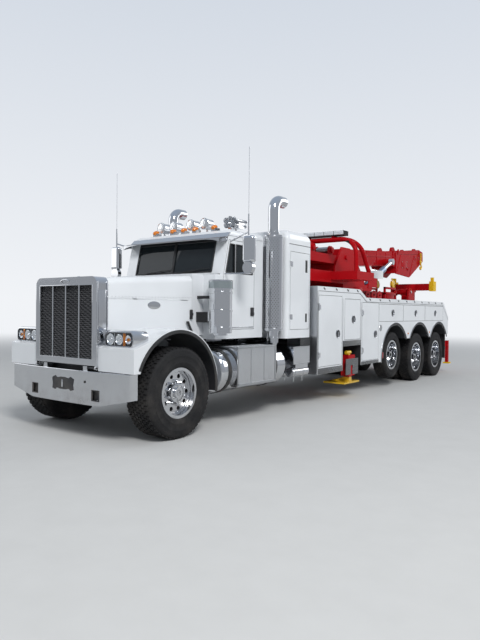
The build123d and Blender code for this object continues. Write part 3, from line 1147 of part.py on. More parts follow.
def lift_barrels():
    foot, lug, way = cylinder_line()
    off = Vector(CYLINDER_X, 0, 0)
    a, b = foot + off + way * 30, foot + off + way * BARREL_LENGTH
    barrel = rod(tuple(a), tuple(b), BARREL_R)
    eye = disc_x(foot.Y, foot.Z, EYE_R, CYLINDER_X - 45, CYLINDER_X + 45)
    bore = rod(tuple(foot + off + way * 180), tuple(b + way * 5), BARREL_R - BARREL_WALL)
    neck = rod(tuple(b - way * 40), tuple(b), BARREL_R)
    neck = neck - rod(tuple(b - way * 45), tuple(b + way * 5), ROD_R + PIN_GAP)
    body = (barrel + eye) - bore + neck
    return both(body - disc_x(foot.Y, foot.Z, EYE_PIN_R + PIN_GAP, CYLINDER_X - 90, CYLINDER_X + 90))


def lift_rods():
    foot, lug, way = cylinder_line()
    off = Vector(CYLINDER_X, 0, 0)
    inside = foot + off + way * (BARREL_LENGTH - 40 - ROD_INSIDE)
    shaft = rod(tuple(inside), tuple(lug + off), ROD_R)
    eye = disc_x(lug.Y, lug.Z, EYE_R, CYLINDER_X - 50, CYLINDER_X + 50)
    return both(shaft + eye)


# The whole truck, node by node
nodes = {
    "frame_rails": [frame_rails()],
    "engine_and_driveline": [engine_and_driveline()],
    "axle_beams": axle_beams(),
    "bumper": [bumper()],
    "hood_shell": [hood_shell()],
    "grille_shell": [grille_shell()],
    "headlamps": headlamps(),
    "cab_shell": [cab_shell()],
    "windscreen": windscreen(),
    "sleeper_shell": [sleeper_shell()],
    "cab_interior": cab_interior(),
    "roof_fittings": roof_fittings(),
    "air_cleaners": air_cleaners(),
    "exhaust_stacks": exhaust_stacks(),
    "fuel_tanks": fuel_tanks(),
    "cab_steps": cab_steps(),
    "body_shell": body_shell(),
    "recovery_subframe": [recovery_subframe()],
    "turret_frame": [turret_frame()],
    "winches": winches(),
    "light_hoop": [light_hoop()],
    "boom_base": [boom_base()],
    "boom_head": [boom_head()],
    "lift_barrels": lift_barrels(),
    "lift_rods": lift_rods(),
    "underlift_arm": [underlift_arm()],
    "underlift_crossbar": [underlift_crossbar()],
}

left = {
    "knuckle": [knuckle()],
    "cab_door": [door()],
    "door_glass": door_glass(),
    "sleeper_hatch": [sleeper_hatch()],
    "outrigger_leg": [outrigger_leg()],
}
for name, y0, y1, z0, z1 in LOCKERS:
    left["locker_door_" + name] = [locker_door(y0, y1, z0, z1)]
for name, y, z, radius, width, centres, rim_radius, rim_width, disc, hub_end in WHEELS:
    left["tyre_" + name] = [tyre(c, y, z, radius, width, rim_radius, rim_width) for c in centres]
    left["rim_" + name] = [rim(centres, y, z, rim_radius, rim_width, disc, hub_end)]
for name, shapes in left.items():
    nodes[name + "_left"] = shapes
    nodes[name + "_right"] = [mirrored(shape) for shape in shapes]
nodes["outrigger_beam_left"] = [outrigger_beam(1)]
nodes["outrigger_beam_right"] = [mirrored(outrigger_beam(-1))]

whole = Compound(children=[Compound(children=[s for part in shapes for s in part.solids()])
                           for shapes in nodes.values()]).bounding_box()
TO_ROW_FRAME = Pos(0, -(whole.min.Y + whole.max.Y) / 2, -whole.min.Z)
print("shift to the row frame, mm:", -(whole.min.Y + whole.max.Y) / 2, -whole.min.Z)
for name, shapes in nodes.items():
    solids = [TO_ROW_FRAME * s for part in shapes for s in part.solids()]
    export_step(Compound(children=solids) if len(solids) > 1 else solids[0], f"parts/{name}.step")
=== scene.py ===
"""The looks of a heavy tow truck: paint, chrome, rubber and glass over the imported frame.

Shapes are drawn in millimetres on the truck's drawing, with X to its left, Y rearwards from the front
axle and Z up from the ground; Shape.made() moves them into the frame, in metres. Zones of a finish are
places on the same drawing, in metres.
"""
from collections import namedtuple
from math import cos, pi, radians, sin

import bmesh
import bpy
from mathutils import Matrix, Vector


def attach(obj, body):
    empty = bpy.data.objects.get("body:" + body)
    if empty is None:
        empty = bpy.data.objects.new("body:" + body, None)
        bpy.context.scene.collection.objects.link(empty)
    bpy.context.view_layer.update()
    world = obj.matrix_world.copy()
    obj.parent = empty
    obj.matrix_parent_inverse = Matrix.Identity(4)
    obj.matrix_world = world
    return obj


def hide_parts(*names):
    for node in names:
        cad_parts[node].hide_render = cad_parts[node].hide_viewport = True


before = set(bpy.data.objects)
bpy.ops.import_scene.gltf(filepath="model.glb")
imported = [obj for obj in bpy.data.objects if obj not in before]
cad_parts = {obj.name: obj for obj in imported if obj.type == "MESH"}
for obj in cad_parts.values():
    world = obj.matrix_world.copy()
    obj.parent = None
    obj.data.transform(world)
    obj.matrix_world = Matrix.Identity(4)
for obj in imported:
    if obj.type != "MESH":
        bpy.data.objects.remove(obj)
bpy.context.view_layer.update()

MM = 0.001
FRONT_AXLE = -5.215  # its place along the frame, in metres
TO_FRAME = Matrix.Translation((0, FRONT_AXLE, 0)) @ Matrix.Scale(MM, 4)
SIDES = (("left", 1), ("right", -1))
PUSHER, DRIVE_FRONT, DRIVE_REAR = 6580, 8020, 9380  # the other axles' places on the drawing


# Camera: the photograph's view from ahead of the truck's left front corner
CAMERA_AT = Vector((5.97, -10.405, 1.546))
YAW, PITCH, ROLL = radians(36.71), radians(0.80), radians(0.55)
SENSOR_WIDTH, FOCAL_LENGTH, SEES_TO = 36, 32.625, 4000


def photographers_camera():
    """The camera, turned by its yaw, its pitch and then its roll."""
    ahead = Vector((-sin(YAW) * cos(PITCH), cos(YAW) * cos(PITCH), -sin(PITCH)))
    level = ahead.cross(Vector((0, 0, 1))).normalized()
    upright = level.cross(ahead)
    right = level * cos(ROLL) + upright * sin(ROLL)
    up = -level * sin(ROLL) + upright * cos(ROLL)
    optics = bpy.data.cameras.new("photographers_camera")
    optics.sensor_width, optics.lens, optics.clip_end = SENSOR_WIDTH, FOCAL_LENGTH, SEES_TO
    camera = bpy.data.objects.new("photographers_camera", optics)
    turn = Matrix((right, up, -ahead)).transposed().to_4x4()
    camera.matrix_world = Matrix.Translation(CAMERA_AT) @ turn
    bpy.context.collection.objects.link(camera)
    bpy.context.scene.camera = camera


# Nodes
class Value:
    """A number or colour worked out by nodes; its operators add the Math nodes."""

    def __init__(self, nodes, socket):
        self.nodes, self.socket = nodes, socket

    def maths(self, operation, first, second=0.0):
        return self.nodes.node("ShaderNodeMath", {"operation": operation}, {0: first, 1: second})

    def __add__(self, other):
        return self.maths("ADD", self, other)

    def __sub__(self, other):
        return self.maths("SUBTRACT", self, other)

    def __rsub__(self, other):
        return self.maths("SUBTRACT", other, self)

    def __mul__(self, other):
        return self.maths("MULTIPLY", self, other)

    def __truediv__(self, other):
        return self.maths("DIVIDE", self, other)

    def __gt__(self, other):
        return self.maths("GREATER_THAN", self, other)

    def __lt__(self, other):
        return self.maths("LESS_THAN", self, other)

    def __abs__(self):
        return self.maths("ABSOLUTE", self)

    __radd__, __rmul__ = __add__, __mul__

    def powered(self, exponent):
        return self.maths("POWER", self, exponent)

    def waved(self):
        return self.maths("SINE", self)

    def remainder(self, step):
        return self.maths("FLOORED_MODULO", self, step)

    def or_larger(self, other):
        return self.maths("MAXIMUM", self, other)


def opaque(colour):
    """A colour with its alpha added; a Value stays as it is."""
    return (*colour, 1.0) if isinstance(colour, tuple) else colour


class Nodes:
    """A node tree, and the one method that adds any node to it."""

    def __init__(self, tree):
        self.tree = tree

    def node(self, kind, settings=None, values=None, output=0):
        """Adds a node, sets it up, fills its sockets and gives one output; a closing node has none."""
        made = self.tree.nodes.new(kind)
        for name, setting in (settings or {}).items():
            setattr(made, name, setting)
        for slot, value in (values or {}).items():
            self.join(value, made.inputs[slot])
        return Value(self, made.outputs[output]) if made.outputs else None

    def join(self, value, socket):
        """Links a Value to a socket, or sets a plain number or colour on it."""
        if isinstance(value, Value):
            self.tree.links.new(value.socket, socket)
        else:
            socket.default_value = value

    def span(self, value, low, high, start=0.0, end=1.0, course="SMOOTHSTEP"):
        """A value taken from low..high to start..end, and held there outside."""
        return self.node("ShaderNodeMapRange", {"interpolation_type": course},
                         {0: value, 1: low, 2: high, 3: start, 4: end})

    def tint(self, share, first, second):
        """One colour passing into another."""
        return self.node("ShaderNodeMix", {"data_type": "RGBA"},
                         {0: share, 6: opaque(first), 7: opaque(second)}, 2)


class Finish(Nodes):
    """One finish: the shader's own constants, and nodes for what varies over a surface."""

    def __init__(self, name, colour, **constants):
        self.material = bpy.data.materials.new(name)
        self.material.use_nodes = True
        super().__init__(self.material.node_tree)
        self.shader = self.tree.nodes["Principled BSDF"]
        self.feed(Base_Color=opaque(colour), **constants)

    def feed(self, **sockets):
        """Fills the shader's sockets, named with underlines for spaces."""
        for socket, value in sockets.items():
            self.join(value, self.shader.inputs[socket.replace("_", " ")])
        return self

    def place(self):
        """The point on the piece, in the frame."""
        return self.node("ShaderNodeTexCoord", output="Object")

    def along(self, axis):
        """X from the middle, Y from the front axle or Z from the ground, in metres."""
        value = self.node("ShaderNodeSeparateXYZ", None, {0: self.place()}, "XYZ".index(axis))
        return value - FRONT_AXLE if axis == "Y" else value

    def noise(self, scale, detail, stretch=(1, 1, 1)):
        """Cloudy noise, drawn out along an axis where stretch is under 1."""
        where = self.node("ShaderNodeMapping", None, {"Vector": self.place(), "Scale": stretch})
        return self.node("ShaderNodeTexNoise", None,
                         {"Vector": where, "Scale": scale, "Detail": detail, "Roughness": 0.6})

    def bump(self, height, strength, distance):
        """The normal of a surface with relief."""
        return self.node("ShaderNodeBump", None,
                         {"Strength": strength, "Distance": distance, "Height": height})

    def within(self, **spans):
        """1 between two places along each axis named, in metres; X is measured out to either side."""
        share = None
        for axis, (low, high) in spans.items():
            value = abs(self.along(axis)) if axis == "X" else self.along(axis)
            one = (value > low) * (value < high)
            share = one if share is None else share * one
        return share

    def round_of_axle(self, y, z, radius):
        """1 nearer than radius to an axle's line, seen from the side."""
        dy, dz = self.along("Y") - y, self.along("Z") - z
        return (dy * dy + dz * dz) < radius * radius


# Finishes
GRIME = (0.20, 0.17, 0.14)
METAL_DUST = (0.34, 0.31, 0.28)
WHITE = (0.78, 0.80, 0.82)
RED = (0.43, 0.006, 0.010)
BLACK = (0.022, 0.023, 0.026)
BRIGHT = (0.62, 0.63, 0.65)
RUBBER = (0.015, 0.015, 0.016)
YELLOW = (0.80, 0.50, 0.02)
SEAM_AND_SHADE = (0.014, 0.014, 0.015)
# Near black for dark joints, and also for painted shade along the fenders' lower edges
GLASS_TINT, GLASS_DUST = (0.020, 0.026, 0.030), (0.03, 0.034, 0.038)
TREAD_BAR_STEP = 0.034


def darker(colour, share):
    """A colour with each part taken down to a share of itself."""
    return tuple(c * share for c in colour)


def gloss_paint(name, colour, parts=(), coat=0.3, shine=0.5):
    """Gloss paint with road film low down and in patches; parts are zones of other finishes."""
    f = Finish(name, colour, Coat_Weight=coat, Coat_Roughness=0.03, IOR=1.45, Specular_IOR_Level=shine)
    film = f.span(f.along("Z"), 1.0, 0.35) * f.span(f.noise(2.2, 5.0), 0.45, 0.75)
    speck = f.span(f.noise(34.0, 4.0), 0.60, 0.74) * f.span(f.along("Z"), 1.6, 0.5)
    hue = f.tint(f.span(f.noise(0.9, 2.0), 0.35, 0.65), colour, darker(colour, 0.93))
    hue = f.tint(film * 0.22 + speck * 0.10, hue, GRIME)
    rough = f.span(f.noise(6.0, 4.0), 0.3, 0.7, 0.16, 0.24) + film * 0.25
    metal = None
    for zone, zone_colour, zone_rough, zone_metal in parts:
        share = zone(f)
        hue = f.tint(share, hue, zone_colour)
        rough = rough * (1 - share) + share * zone_rough
        if zone_metal:
            metal = share * zone_metal if metal is None else metal * (1 - share) + share * zone_metal
        elif metal is not None:
            metal = metal * (1 - share)
    f.feed(Base_Color=hue, Roughness=rough, Normal=f.bump(f.noise(140.0, 2.0), 0.04, 0.0004))
    if metal is not None:
        f.feed(Metallic=metal)
    return f


def red_paint(name, parts=()):
    """The recovery gear's red, with little mirror so that flat sides stay deep."""
    return gloss_paint(name, RED, parts, 0.0, 0.06)


def polished(name, colour=BRIGHT, smooth=0.07, parts=()):
    """Chrome or polished aluminium with wiping marks, water spots and dust low down."""
    f = Finish(name, colour, Metallic=1.0)
    smear = f.span(f.noise(5.0, 6.0, (1, 1, 0.35)), 0.35, 0.72)
    spot = f.span(f.noise(70.0, 2.0), 0.64, 0.72)
    dust = f.span(f.along("Z"), 0.9, 0.35) * f.span(f.noise(3.0, 5.0), 0.40, 0.70)
    hue = f.tint(dust * 0.35 + spot * 0.12, colour, METAL_DUST)
    rough = smear * 0.07 + dust * 0.22 + spot * 0.10 + smooth
    metal = None
    for zone, zone_colour, zone_rough, zone_metal in parts:
        share = zone(f)
        hue = f.tint(share, hue, zone_colour)
        rough = rough * (1 - share) + share * zone_rough
        metal = (1 - share * (1 - zone_metal)) * (1 if metal is None else metal)
    f.feed(Base_Color=hue, Roughness=rough, Normal=f.bump(smear, 0.05, 0.001))
    if metal is not None:
        f.feed(Metallic=metal)
    return f


def brushed(name, colour=(0.48, 0.49, 0.50), across=(60, 60, 1)):
    """Plain mill aluminium or steel with fine drawn lines and dull patches."""
    f = Finish(name, colour, Metallic=1.0)
    grain = f.noise(8.0, 3.0, across)
    patch = f.span(f.noise(3.5, 5.0), 0.4, 0.7)
    hue = f.tint(patch * 0.35, colour, darker(colour, 0.72))
    f.feed(Base_Color=hue, Roughness=f.span(grain, 0.3, 0.7, 0.24, 0.40) + patch * 0.12,
           Normal=f.bump(grain, 0.10, 0.0008))
    return f


def dull(name, colour, rough=0.55, grit=120.0, depth=0.0012, dust=0.35, **constants):
    """Black chassis paint, rubber or moulded plastic: grained, with road dust low down."""
    f = Finish(name, colour, **constants)
    grain = f.noise(grit, 3.0)
    patch = f.span(f.noise(3.2, 5.0), 0.38, 0.72)
    low = f.span(f.along("Z"), 1.3, 0.3)
    hue = f.tint(patch * 0.5, colour, tuple(c * 1.55 + 0.004 for c in colour))
    hue = f.tint(patch * low * dust, hue, GRIME)
    f.feed(Base_Color=hue, Roughness=f.span(grain, 0.3, 0.7, rough - 0.08, rough + 0.08) + low * 0.08,
           Normal=f.bump(grain, 0.25, depth))
    return f


def checker(name, colour):
    """Diamond tread plate: short raised bars that lean one way and then the other."""
    f = Finish(name, colour, Metallic=1.0)
    u, v = f.along("Y") + f.along("X"), f.along("Z") + f.along("X") * 0.5
    p, q = (u / TREAD_BAR_STEP).remainder(2.0), (v / TREAD_BAR_STEP).remainder(2.0)
    one = (abs(p - 0.5) < 0.40) * (abs(q - 0.5) < 0.13)
    two = (abs(q - 1.5) < 0.40) * (abs(p - 1.5) < 0.13)
    bars = one + two
    wear = f.span(f.noise(4.0, 5.0), 0.38, 0.70)
    hue = f.tint(bars, darker(colour, 0.62), colour)
    hue = f.tint(wear * 0.30, hue, GRIME)
    f.feed(Base_Color=hue, Roughness=wear * 0.18 + 0.26, Normal=f.bump(bars, 0.6, 0.002))
    return f


def lens(name, colour, clear, ribs=90.0):
    """Ribbed lamp plastic, lit only by what falls on it."""
    f = Finish(name, colour, Transmission_Weight=clear, IOR=1.49, Coat_Weight=0.4)
    rib = (f.along("X") * (ribs * 2 * pi)).waved() + (f.along("Z") * (ribs * 2 * pi)).waved()
    grime = f.span(f.noise(12.0, 4.0), 0.5, 0.8)
    f.feed(Base_Color=f.tint(grime * 0.25, colour, darker(colour, 0.6)),
           Roughness=grime * 0.15 + 0.06, Normal=f.bump(rib, 0.25, 0.002))
    return f


def dark_glass(name):
    """Tinted safety glass over a shaded cabin, with thin dust in patches."""
    f = Finish(name, GLASS_TINT, IOR=1.36, Transmission_Weight=0.30)
    film = f.span(f.noise(4.0, 5.0), 0.45, 0.75)
    f.feed(Base_Color=f.tint(film * 0.25, GLASS_TINT, GLASS_DUST), Roughness=film * 0.05 + 0.01)
    return f


def face_glass(name):
    """A headlamp's clear face."""
    f = Finish(name, (0.96, 0.97, 0.98), Transmission_Weight=1.0, IOR=1.18)
    return f.feed(Roughness=f.span(f.noise(8.0, 3.0), 0.4, 0.8, 0.0, 0.08))


# Plain finishes
white = gloss_paint("white_paint", WHITE)
red = red_paint("red_paint")
yellow = gloss_paint("yellow_paint", YELLOW)
black = dull("frame_black", BLACK)
engine_grey = dull("engine_grey", (0.16, 0.17, 0.18), 0.5)
trim = dull("cabin_trim", (0.07, 0.06, 0.055), 0.7, 300.0, 0.001, 0.0)
tyre_rubber = dull("tyre_rubber", RUBBER, 0.80, 60.0, 0.0015, 0.12, Specular_IOR_Level=0.25)
rubber = dull("black_rubber", (0.018, 0.018, 0.019), 0.50, 200.0, 0.0008)
hose_red = dull("hose_red", (0.30, 0.012, 0.014), 0.42, 160.0, 0.0008, 0.2)
mesh_black = dull("mesh_black", (0.060, 0.060, 0.064), 0.50, 160.0, 0.0004, 0.1)
aluminium = brushed("bright_metal")
steel = brushed("steel", (0.42, 0.43, 0.44))
cylinder_silver = brushed("cylinder_silver", (0.26, 0.32, 0.42), (40, 1, 40))
tread_plate = checker("tread_plate", (0.34, 0.35, 0.36))
chrome = polished("chrome")
stack_chrome = polished("stack_chrome", BRIGHT, 0.05)
latch_steel = polished("latch_steel", (0.36, 0.37, 0.39), 0.10)
reflector = polished("lamp_reflector", (0.86, 0.87, 0.88), 0.10)
glass = dark_glass("glass")
lamp_glass = face_glass("lamp_glass")
amber_lens = lens("amber_lens", (0.95, 0.28, 0.015), 0.35)
red_lens = lens("red_lens", (0.55, 0.01, 0.01), 0.3)
clear_lens = lens("clear_lens", (0.86, 0.88, 0.90), 0.80, 60.0)
bar_lens = lens("bar_lens", (0.66, 0.69, 0.72), 0.0, 40.0)


# Finishes in zones: each zone is a place, its colour, its roughness and how metallic it is
def zone(**spans):
    """The place between two coordinates along each axis named."""
    return lambda f: f.within(**spans)


def either(first, second):
    """Two places that lie apart, as one."""
    return lambda f: first(f) + second(f)


def hood_wells(f):
    """The hood's wheel openings, but not its outer face."""
    return f.round_of_axle(0.0, 0.59, 0.6925) * (1 - f.within(X=(1.193, 1.3)))


def hood_liners(f):
    """The walls and roofs of the front wheel arches."""
    return f.round_of_axle(0.0, 0.59, 0.694) * f.within(Z=(0.0, 1.4)) * f.within(X=(0.60, 1.19))


def body_arches(f):
    """The undersides of the body's wheel arches."""
    share = None
    for y in (PUSHER, DRIVE_FRONT, DRIVE_REAR):
        one = f.round_of_axle(y * MM, 0.60, 0.704)
        share = one if share is None else 1 - (1 - share) * (1 - one)
    return share * (1 - f.within(X=(1.2905, 1.4)))


def doorway(f):
    """The jambs round each cab door and the post between the panes of the screen."""
    behind = (f.along("Y") - f.span(f.along("Z"), 2.06, 2.59) * 0.120) > 1.116
    jamb = f.within(X=(0.62, 0.9695)) * behind * f.within(Y=(1.0, 1.872)) * f.within(Z=(1.17, 2.60))
    post = f.within(X=(0.0, 0.0165), Y=(1.0, 1.3), Z=(2.10, 2.55))
    return 1 - (1 - jamb) * (1 - post)


grille_chrome = polished("grille_chrome", BRIGHT, 0.06, [
    (zone(Y=(-0.7335, -0.715), X=(0.0, 0.5155), Z=(0.968, 1.852)), SEAM_AND_SHADE, 0.6, 0.0)])
hood_white = gloss_paint("hood_white", WHITE, [
    (hood_wells, BLACK, 0.6, 0),
    (hood_liners, BLACK, 0.6, 0),
    # painted shade: the fenders' lower edges over the bumper are drawn near black
    (zone(Z=(0.78, 0.8365), Y=(-0.80, -0.30)), SEAM_AND_SHADE, 0.6, 0)])
cab_white = gloss_paint("cab_white", WHITE, [
    (doorway, SEAM_AND_SHADE, 0.5, 0),
    (zone(Z=(0.0, 1.166)), BLACK, 0.55, 0)])
sleeper_white = gloss_paint("sleeper_white", WHITE, [
    (zone(X=(1.10, 1.1985), Y=(2.49, 3.10), Z=(1.26, 2.52)), SEAM_AND_SHADE, 0.5, 0),
    (zone(Z=(0.0, 1.141)), BLACK, 0.55, 0)])
door_white = gloss_paint("door_white", WHITE, [
    (zone(X=(0.0, 0.9690)), SEAM_AND_SHADE, 0.5, 0),
    (zone(X=(0.9715, 1.6)), BRIGHT, 0.08, 1)])
hatch_white = gloss_paint("hatch_white", WHITE, [
    (zone(X=(0.0, 1.1985)), SEAM_AND_SHADE, 0.5, 0),
    (zone(X=(1.2005, 1.3)), BRIGHT, 0.15, 1)])
body_white = gloss_paint("body_white", WHITE, [
    (zone(X=(1.15, 1.2922), Y=(3.21, 9.72), Z=(0.56, 1.838)), SEAM_AND_SHADE, 0.55, 0),
    (zone(X=(1.2862, 1.2922)), SEAM_AND_SHADE, 0.55, 0),
    (body_arches, BLACK, 0.65, 0),
    (zone(Y=(4.135, 4.885), Z=(0.3, 0.9505)), BLACK, 0.6, 0),
    (zone(X=(0.0, 0.7195)), (0.40, 0.41, 0.42), 0.38, 1),
    (zone(Y=(3.0, 3.2005)), (0.50, 0.51, 0.53), 0.34, 1),
    (zone(Y=(10.0895, 10.2), Z=(0.0, 1.03)), RUBBER, 0.7, 0),
    (zone(X=(1.2936, 1.4)), BRIGHT, 0.12, 1)])
locker_white = gloss_paint("locker_white", WHITE, [
    (zone(X=(0.0, 1.2922)), SEAM_AND_SHADE, 0.55, 0),
    (zone(X=(1.2936, 1.4)), BRIGHT, 0.12, 1)])
cleaner_chrome = polished("cleaner_chrome", BRIGHT, 0.05, [
    (zone(X=(0.0, 0.960)), SEAM_AND_SHADE, 0.5, 0),
    (zone(Z=(1.852, 1.948)), (0.30, 0.34, 0.35), 0.08, 0.6)])
step_chrome = polished("step_chrome", BRIGHT, 0.09, [
    (either(zone(Z=(1.0605, 1.07)), zone(Z=(0.5445, 0.546))), (0.46, 0.47, 0.48), 0.36, 1.0)])
tank_chrome = polished("tank_chrome", BRIGHT, 0.06, [
    (either(zone(Y=(0.9695, 1.0305)), zone(Y=(2.0895, 2.1505))), BLACK, 0.45, 0.0),
    (zone(X=(0.0, 0.60)), BLACK, 0.5, 0.0)])
visor_steel = polished("visor_steel", BRIGHT, 0.05, [
    # painted shade: the visor's lower edge and underside over the screen are drawn near black
    (zone(Z=(2.50, 2.5925), Y=(1.035, 1.215)), (0.05, 0.05, 0.055), 0.4, 0.2)])
subframe_red = red_paint("subframe_red", [
    (zone(X=(0.0, 0.4705), Z=(1.029, 1.262), Y=(3.2, 9.88)), BLACK, 0.5, 0),
    (zone(Z=(0.0, 0.2755), Y=(10.2, 10.6)), YELLOW, 0.4, 0)])
turret_red = red_paint("turret_red", [
    (zone(X=(0.5975, 0.63), Y=(6.69, 7.16), Z=(2.33, 2.53)), BRIGHT, 0.10, 1)])
hoop_red = red_paint("hoop_red", [
    (zone(Z=(3.049, 3.2)), SEAM_AND_SHADE, 0.4, 0),
    (zone(X=(0.79, 0.97), Z=(2.84, 2.9415), Y=(4.96, 5.14)), BLACK, 0.4, 0)])
crossbar_red = red_paint("crossbar_red", [(zone(X=(0.489, 0.8)), YELLOW, 0.35, 0)])
leg_yellow = gloss_paint("leg_yellow", YELLOW, [(zone(Z=(0.372, 1.0)), RED, 0.3, 0)])

# A node takes the finish under its own name, or else under what its name starts with
NODE_FINISHES = {
    "frame_rails": black, "engine_and_driveline": engine_grey, "axle_beams": black,
    "bumper": chrome, "hood_shell": hood_white, "grille_shell": grille_chrome, "headlamps": chrome,
    "cab_shell": cab_white, "windscreen": glass, "sleeper_shell": sleeper_white,
    "cab_interior": trim, "roof_fittings": visor_steel, "air_cleaners": cleaner_chrome,
    "exhaust_stacks": stack_chrome, "fuel_tanks": tank_chrome, "cab_steps": step_chrome,
    "body_shell": body_white, "recovery_subframe": subframe_red, "turret_frame": turret_red,
    "winches": red, "light_hoop": hoop_red, "boom_base": red, "boom_head": red,
    "lift_barrels": cylinder_silver, "lift_rods": chrome, "underlift_arm": red,
    "underlift_crossbar": crossbar_red, "knuckle": black, "cab_door": door_white,
    "door_glass": glass, "sleeper_hatch": hatch_white, "outrigger_leg": leg_yellow,
    "outrigger_beam": red, "locker_door": locker_white, "rim": chrome, "tyre": tyre_rubber,
}


def dress_the_frame():
    """Gives each solid of the frame its finish."""
    for name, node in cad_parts.items():
        key = name if name in NODE_FINISHES else next(k for k in NODE_FINISHES if name.startswith(k))
        for mesh_slot in node.material_slots:
            mesh_slot.material = NODE_FINISHES[key].material


# Shapes
BOOM_PIVOT, BOOM_TILT = (6050, 2720), radians(4)
MERGE_WITHIN = 0.01


def boom_place(u, w):
    """Where a point drawn level from the boom's pivot stands, as (y, z)."""
    c, s = cos(BOOM_TILT), sin(BOOM_TILT)
    return BOOM_PIVOT[0] + u * c - w * s, BOOM_PIVOT[1] + u * s + w * c


def to_side(sign, low, high):
    """A stretch of X drawn for the left, as it lies on the side that sign gives."""
    return sorted((sign * low, sign * high))


def round_box(x0, x1, z0, z1, corner, inset=0.0):
    """The outline of a box with round corners, drawn in by inset."""
    x0, x1, z0, z1, r = x0 + inset, x1 - inset, z0 + inset, z1 - inset, max(corner - inset, 2)
    centres = ((x1 - r, z1 - r, 0), (x0 + r, z1 - r, 90), (x0 + r, z0 + r, 180), (x1 - r, z0 + r, 270))
    steps = 5
    points = []
    for x, z, turn in centres:
        for i in range(steps + 1):
            a = radians(turn + 90 * i / steps)
            points.append((x + r * cos(a), z + r * sin(a)))
    return points


class Shape:
    """A mesh in the making, in millimetres on the truck's drawing."""

    def __init__(self):
        self.bm = bmesh.new()

    def skin(self, rings, closed=True):
        """Skins a run of rings of points, each with as many as the others; closed ones are capped."""
        rows = [[self.bm.verts.new(p) for p in ring] for ring in rings]
        count = len(rows[0])
        for a, b in zip(rows, rows[1:]):
            for i in range(count if closed else count - 1):
                j = (i + 1) % count
                self.bm.faces.new((a[i], a[j], b[j], b[i]))
        if closed:
            self.bm.faces.new(list(reversed(rows[0])))
            self.bm.faces.new(rows[-1])
        return self

    def slab(self, x0, x1, y0, y1, z0, z1, edge=0.0):
        """A box between two corners, with its edges rounded by edge."""
        made = bmesh.ops.create_cube(self.bm, size=1)["verts"]
        for v in made:
            v.co = Vector(((x0 + x1) / 2 + v.co.x * (x1 - x0), (y0 + y1) / 2 + v.co.y * (y1 - y0),
                           (z0 + z1) / 2 + v.co.z * (z1 - z0)))
        if edge:
            edges = {e for v in made for e in v.link_edges}
            bmesh.ops.bevel(self.bm, geom=list(edges), offset=edge, segments=2, profile=0.6,
                            affect="EDGES")
        return self

    def prism(self, outline, axis, low, high):
        """An outline of (y, z), (x, z) or (x, y) pairs carried along the third axis."""
        place = {"X": lambda p, t: (t, p[0], p[1]), "Y": lambda p, t: (p[0], t, p[1]),
                 "Z": lambda p, t: (p[0], p[1], t)}[axis]
        return self.skin([[place(p, t) for p in outline] for t in (low, high)])

    def turned(self, profile, centre, axis, steps):
        """A profile of (distance along the axis, radius) turned right round it."""
        rings = []
        for i in range(steps):
            a = radians(360.0 * i / steps)
            ring = []
            for along, r in profile:
                u, v = r * cos(a), r * sin(a)
                ring.append({"X": (along, u, v), "Y": (u, along, v), "Z": (u, v, along)}[axis])
            rings.append([Vector(p) + Vector(centre) for p in ring])
        return self.skin(rings + rings[:1], closed=False)

    def tube(self, path, radius, sides):
        """A round bar along a path of points."""
        path = [Vector(p) for p in path]
        up, rings = None, []
        for i, p in enumerate(path):
            way = (path[min(i + 1, len(path) - 1)] - path[max(i - 1, 0)]).normalized()
            if up is None:
                up = way.orthogonal().normalized()
            up = (up - way * up.dot(way)).normalized()
            side = way.cross(up)
            rings.append([p + (up * cos(2 * pi * k / sides) + side * sin(2 * pi * k / sides)) * radius
                          for k in range(sides)])
        return self.skin(rings)

    def hoop(self, corners, radius, sides):
        """Round bars from corner to corner and back to the first."""
        for a, b in zip(corners, corners[1:] + corners[:1]):
            self.tube([a, b], radius, sides)
        return self

    def strip(self, path, outward, width, proud):
        """A flat trim along a path: width to the side that outward gives, proud of its face."""
        rings = []
        for p, out in zip(path, outward):
            p, out = Vector(p), Vector(out).normalized()
            lift = Vector((1 if p.x > 0 else -1, 0, 0)) * proud
            rings.append([p, p + out * width, p + out * width * 0.92 + lift, p + out * width * 0.1 + lift])
        return self.skin(rings)

    def on_boom(self):
        """Tilts what was drawn level from the boom's pivot."""
        for v in self.bm.verts:
            v.co.y, v.co.z = boom_place(v.co.y, v.co.z)
        return self

    def mirrored(self):
        """Adds the same on the other side of the truck's middle."""
        everything = self.bm.verts[:] + self.bm.edges[:] + self.bm.faces[:]
        made = bmesh.ops.duplicate(self.bm, geom=everything)["geom"]
        for g in made:
            if isinstance(g, bmesh.types.BMVert):
                g.co.x = -g.co.x
        bmesh.ops.reverse_faces(self.bm, faces=[g for g in made if isinstance(g, bmesh.types.BMFace)])
        return self

    def sided(self, sign):
        """The shape as drawn for the left, or turned into the right side's."""
        if sign < 0:
            for v in self.bm.verts:
                v.co.x = -v.co.x
            bmesh.ops.reverse_faces(self.bm, faces=self.bm.faces[:])
        return self

    def made(self, name, finish, body, slot=None, sharp=38.0):
        """Merges and smooths the mesh, moves it into the frame and lets it ride on a body."""
        bm = self.bm
        bmesh.ops.remove_doubles(bm, verts=bm.verts[:], dist=MERGE_WITHIN)
        bmesh.ops.recalc_face_normals(bm, faces=bm.faces[:])
        for face in bm.faces:
            face.smooth = True
        for edge in bm.edges:
            if len(edge.link_faces) == 2 and edge.calc_face_angle(0) > radians(sharp):
                edge.smooth = False
        bm.transform(TO_FRAME)
        mesh = bpy.data.meshes.new(name)
        bm.to_mesh(mesh)
        bm.free()
        piece = bpy.data.objects.new(name, mesh)
        bpy.context.collection.objects.link(piece)
        mesh.materials.append(finish.material)
        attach(piece, body)
        return piece


def wound(x0, x1, turns, core, radius, swell, points):
    """The profile of hose or rope wound side by side on a drum, with points to each turn."""
    step = (x1 - x0) / turns
    tops = [(x0 + step * (i + k / 4), radius + swell * sin(pi * k / 4))
            for i in range(turns) for k in range(points)]
    return [(x0, core)] + tops + [(x1, core)]


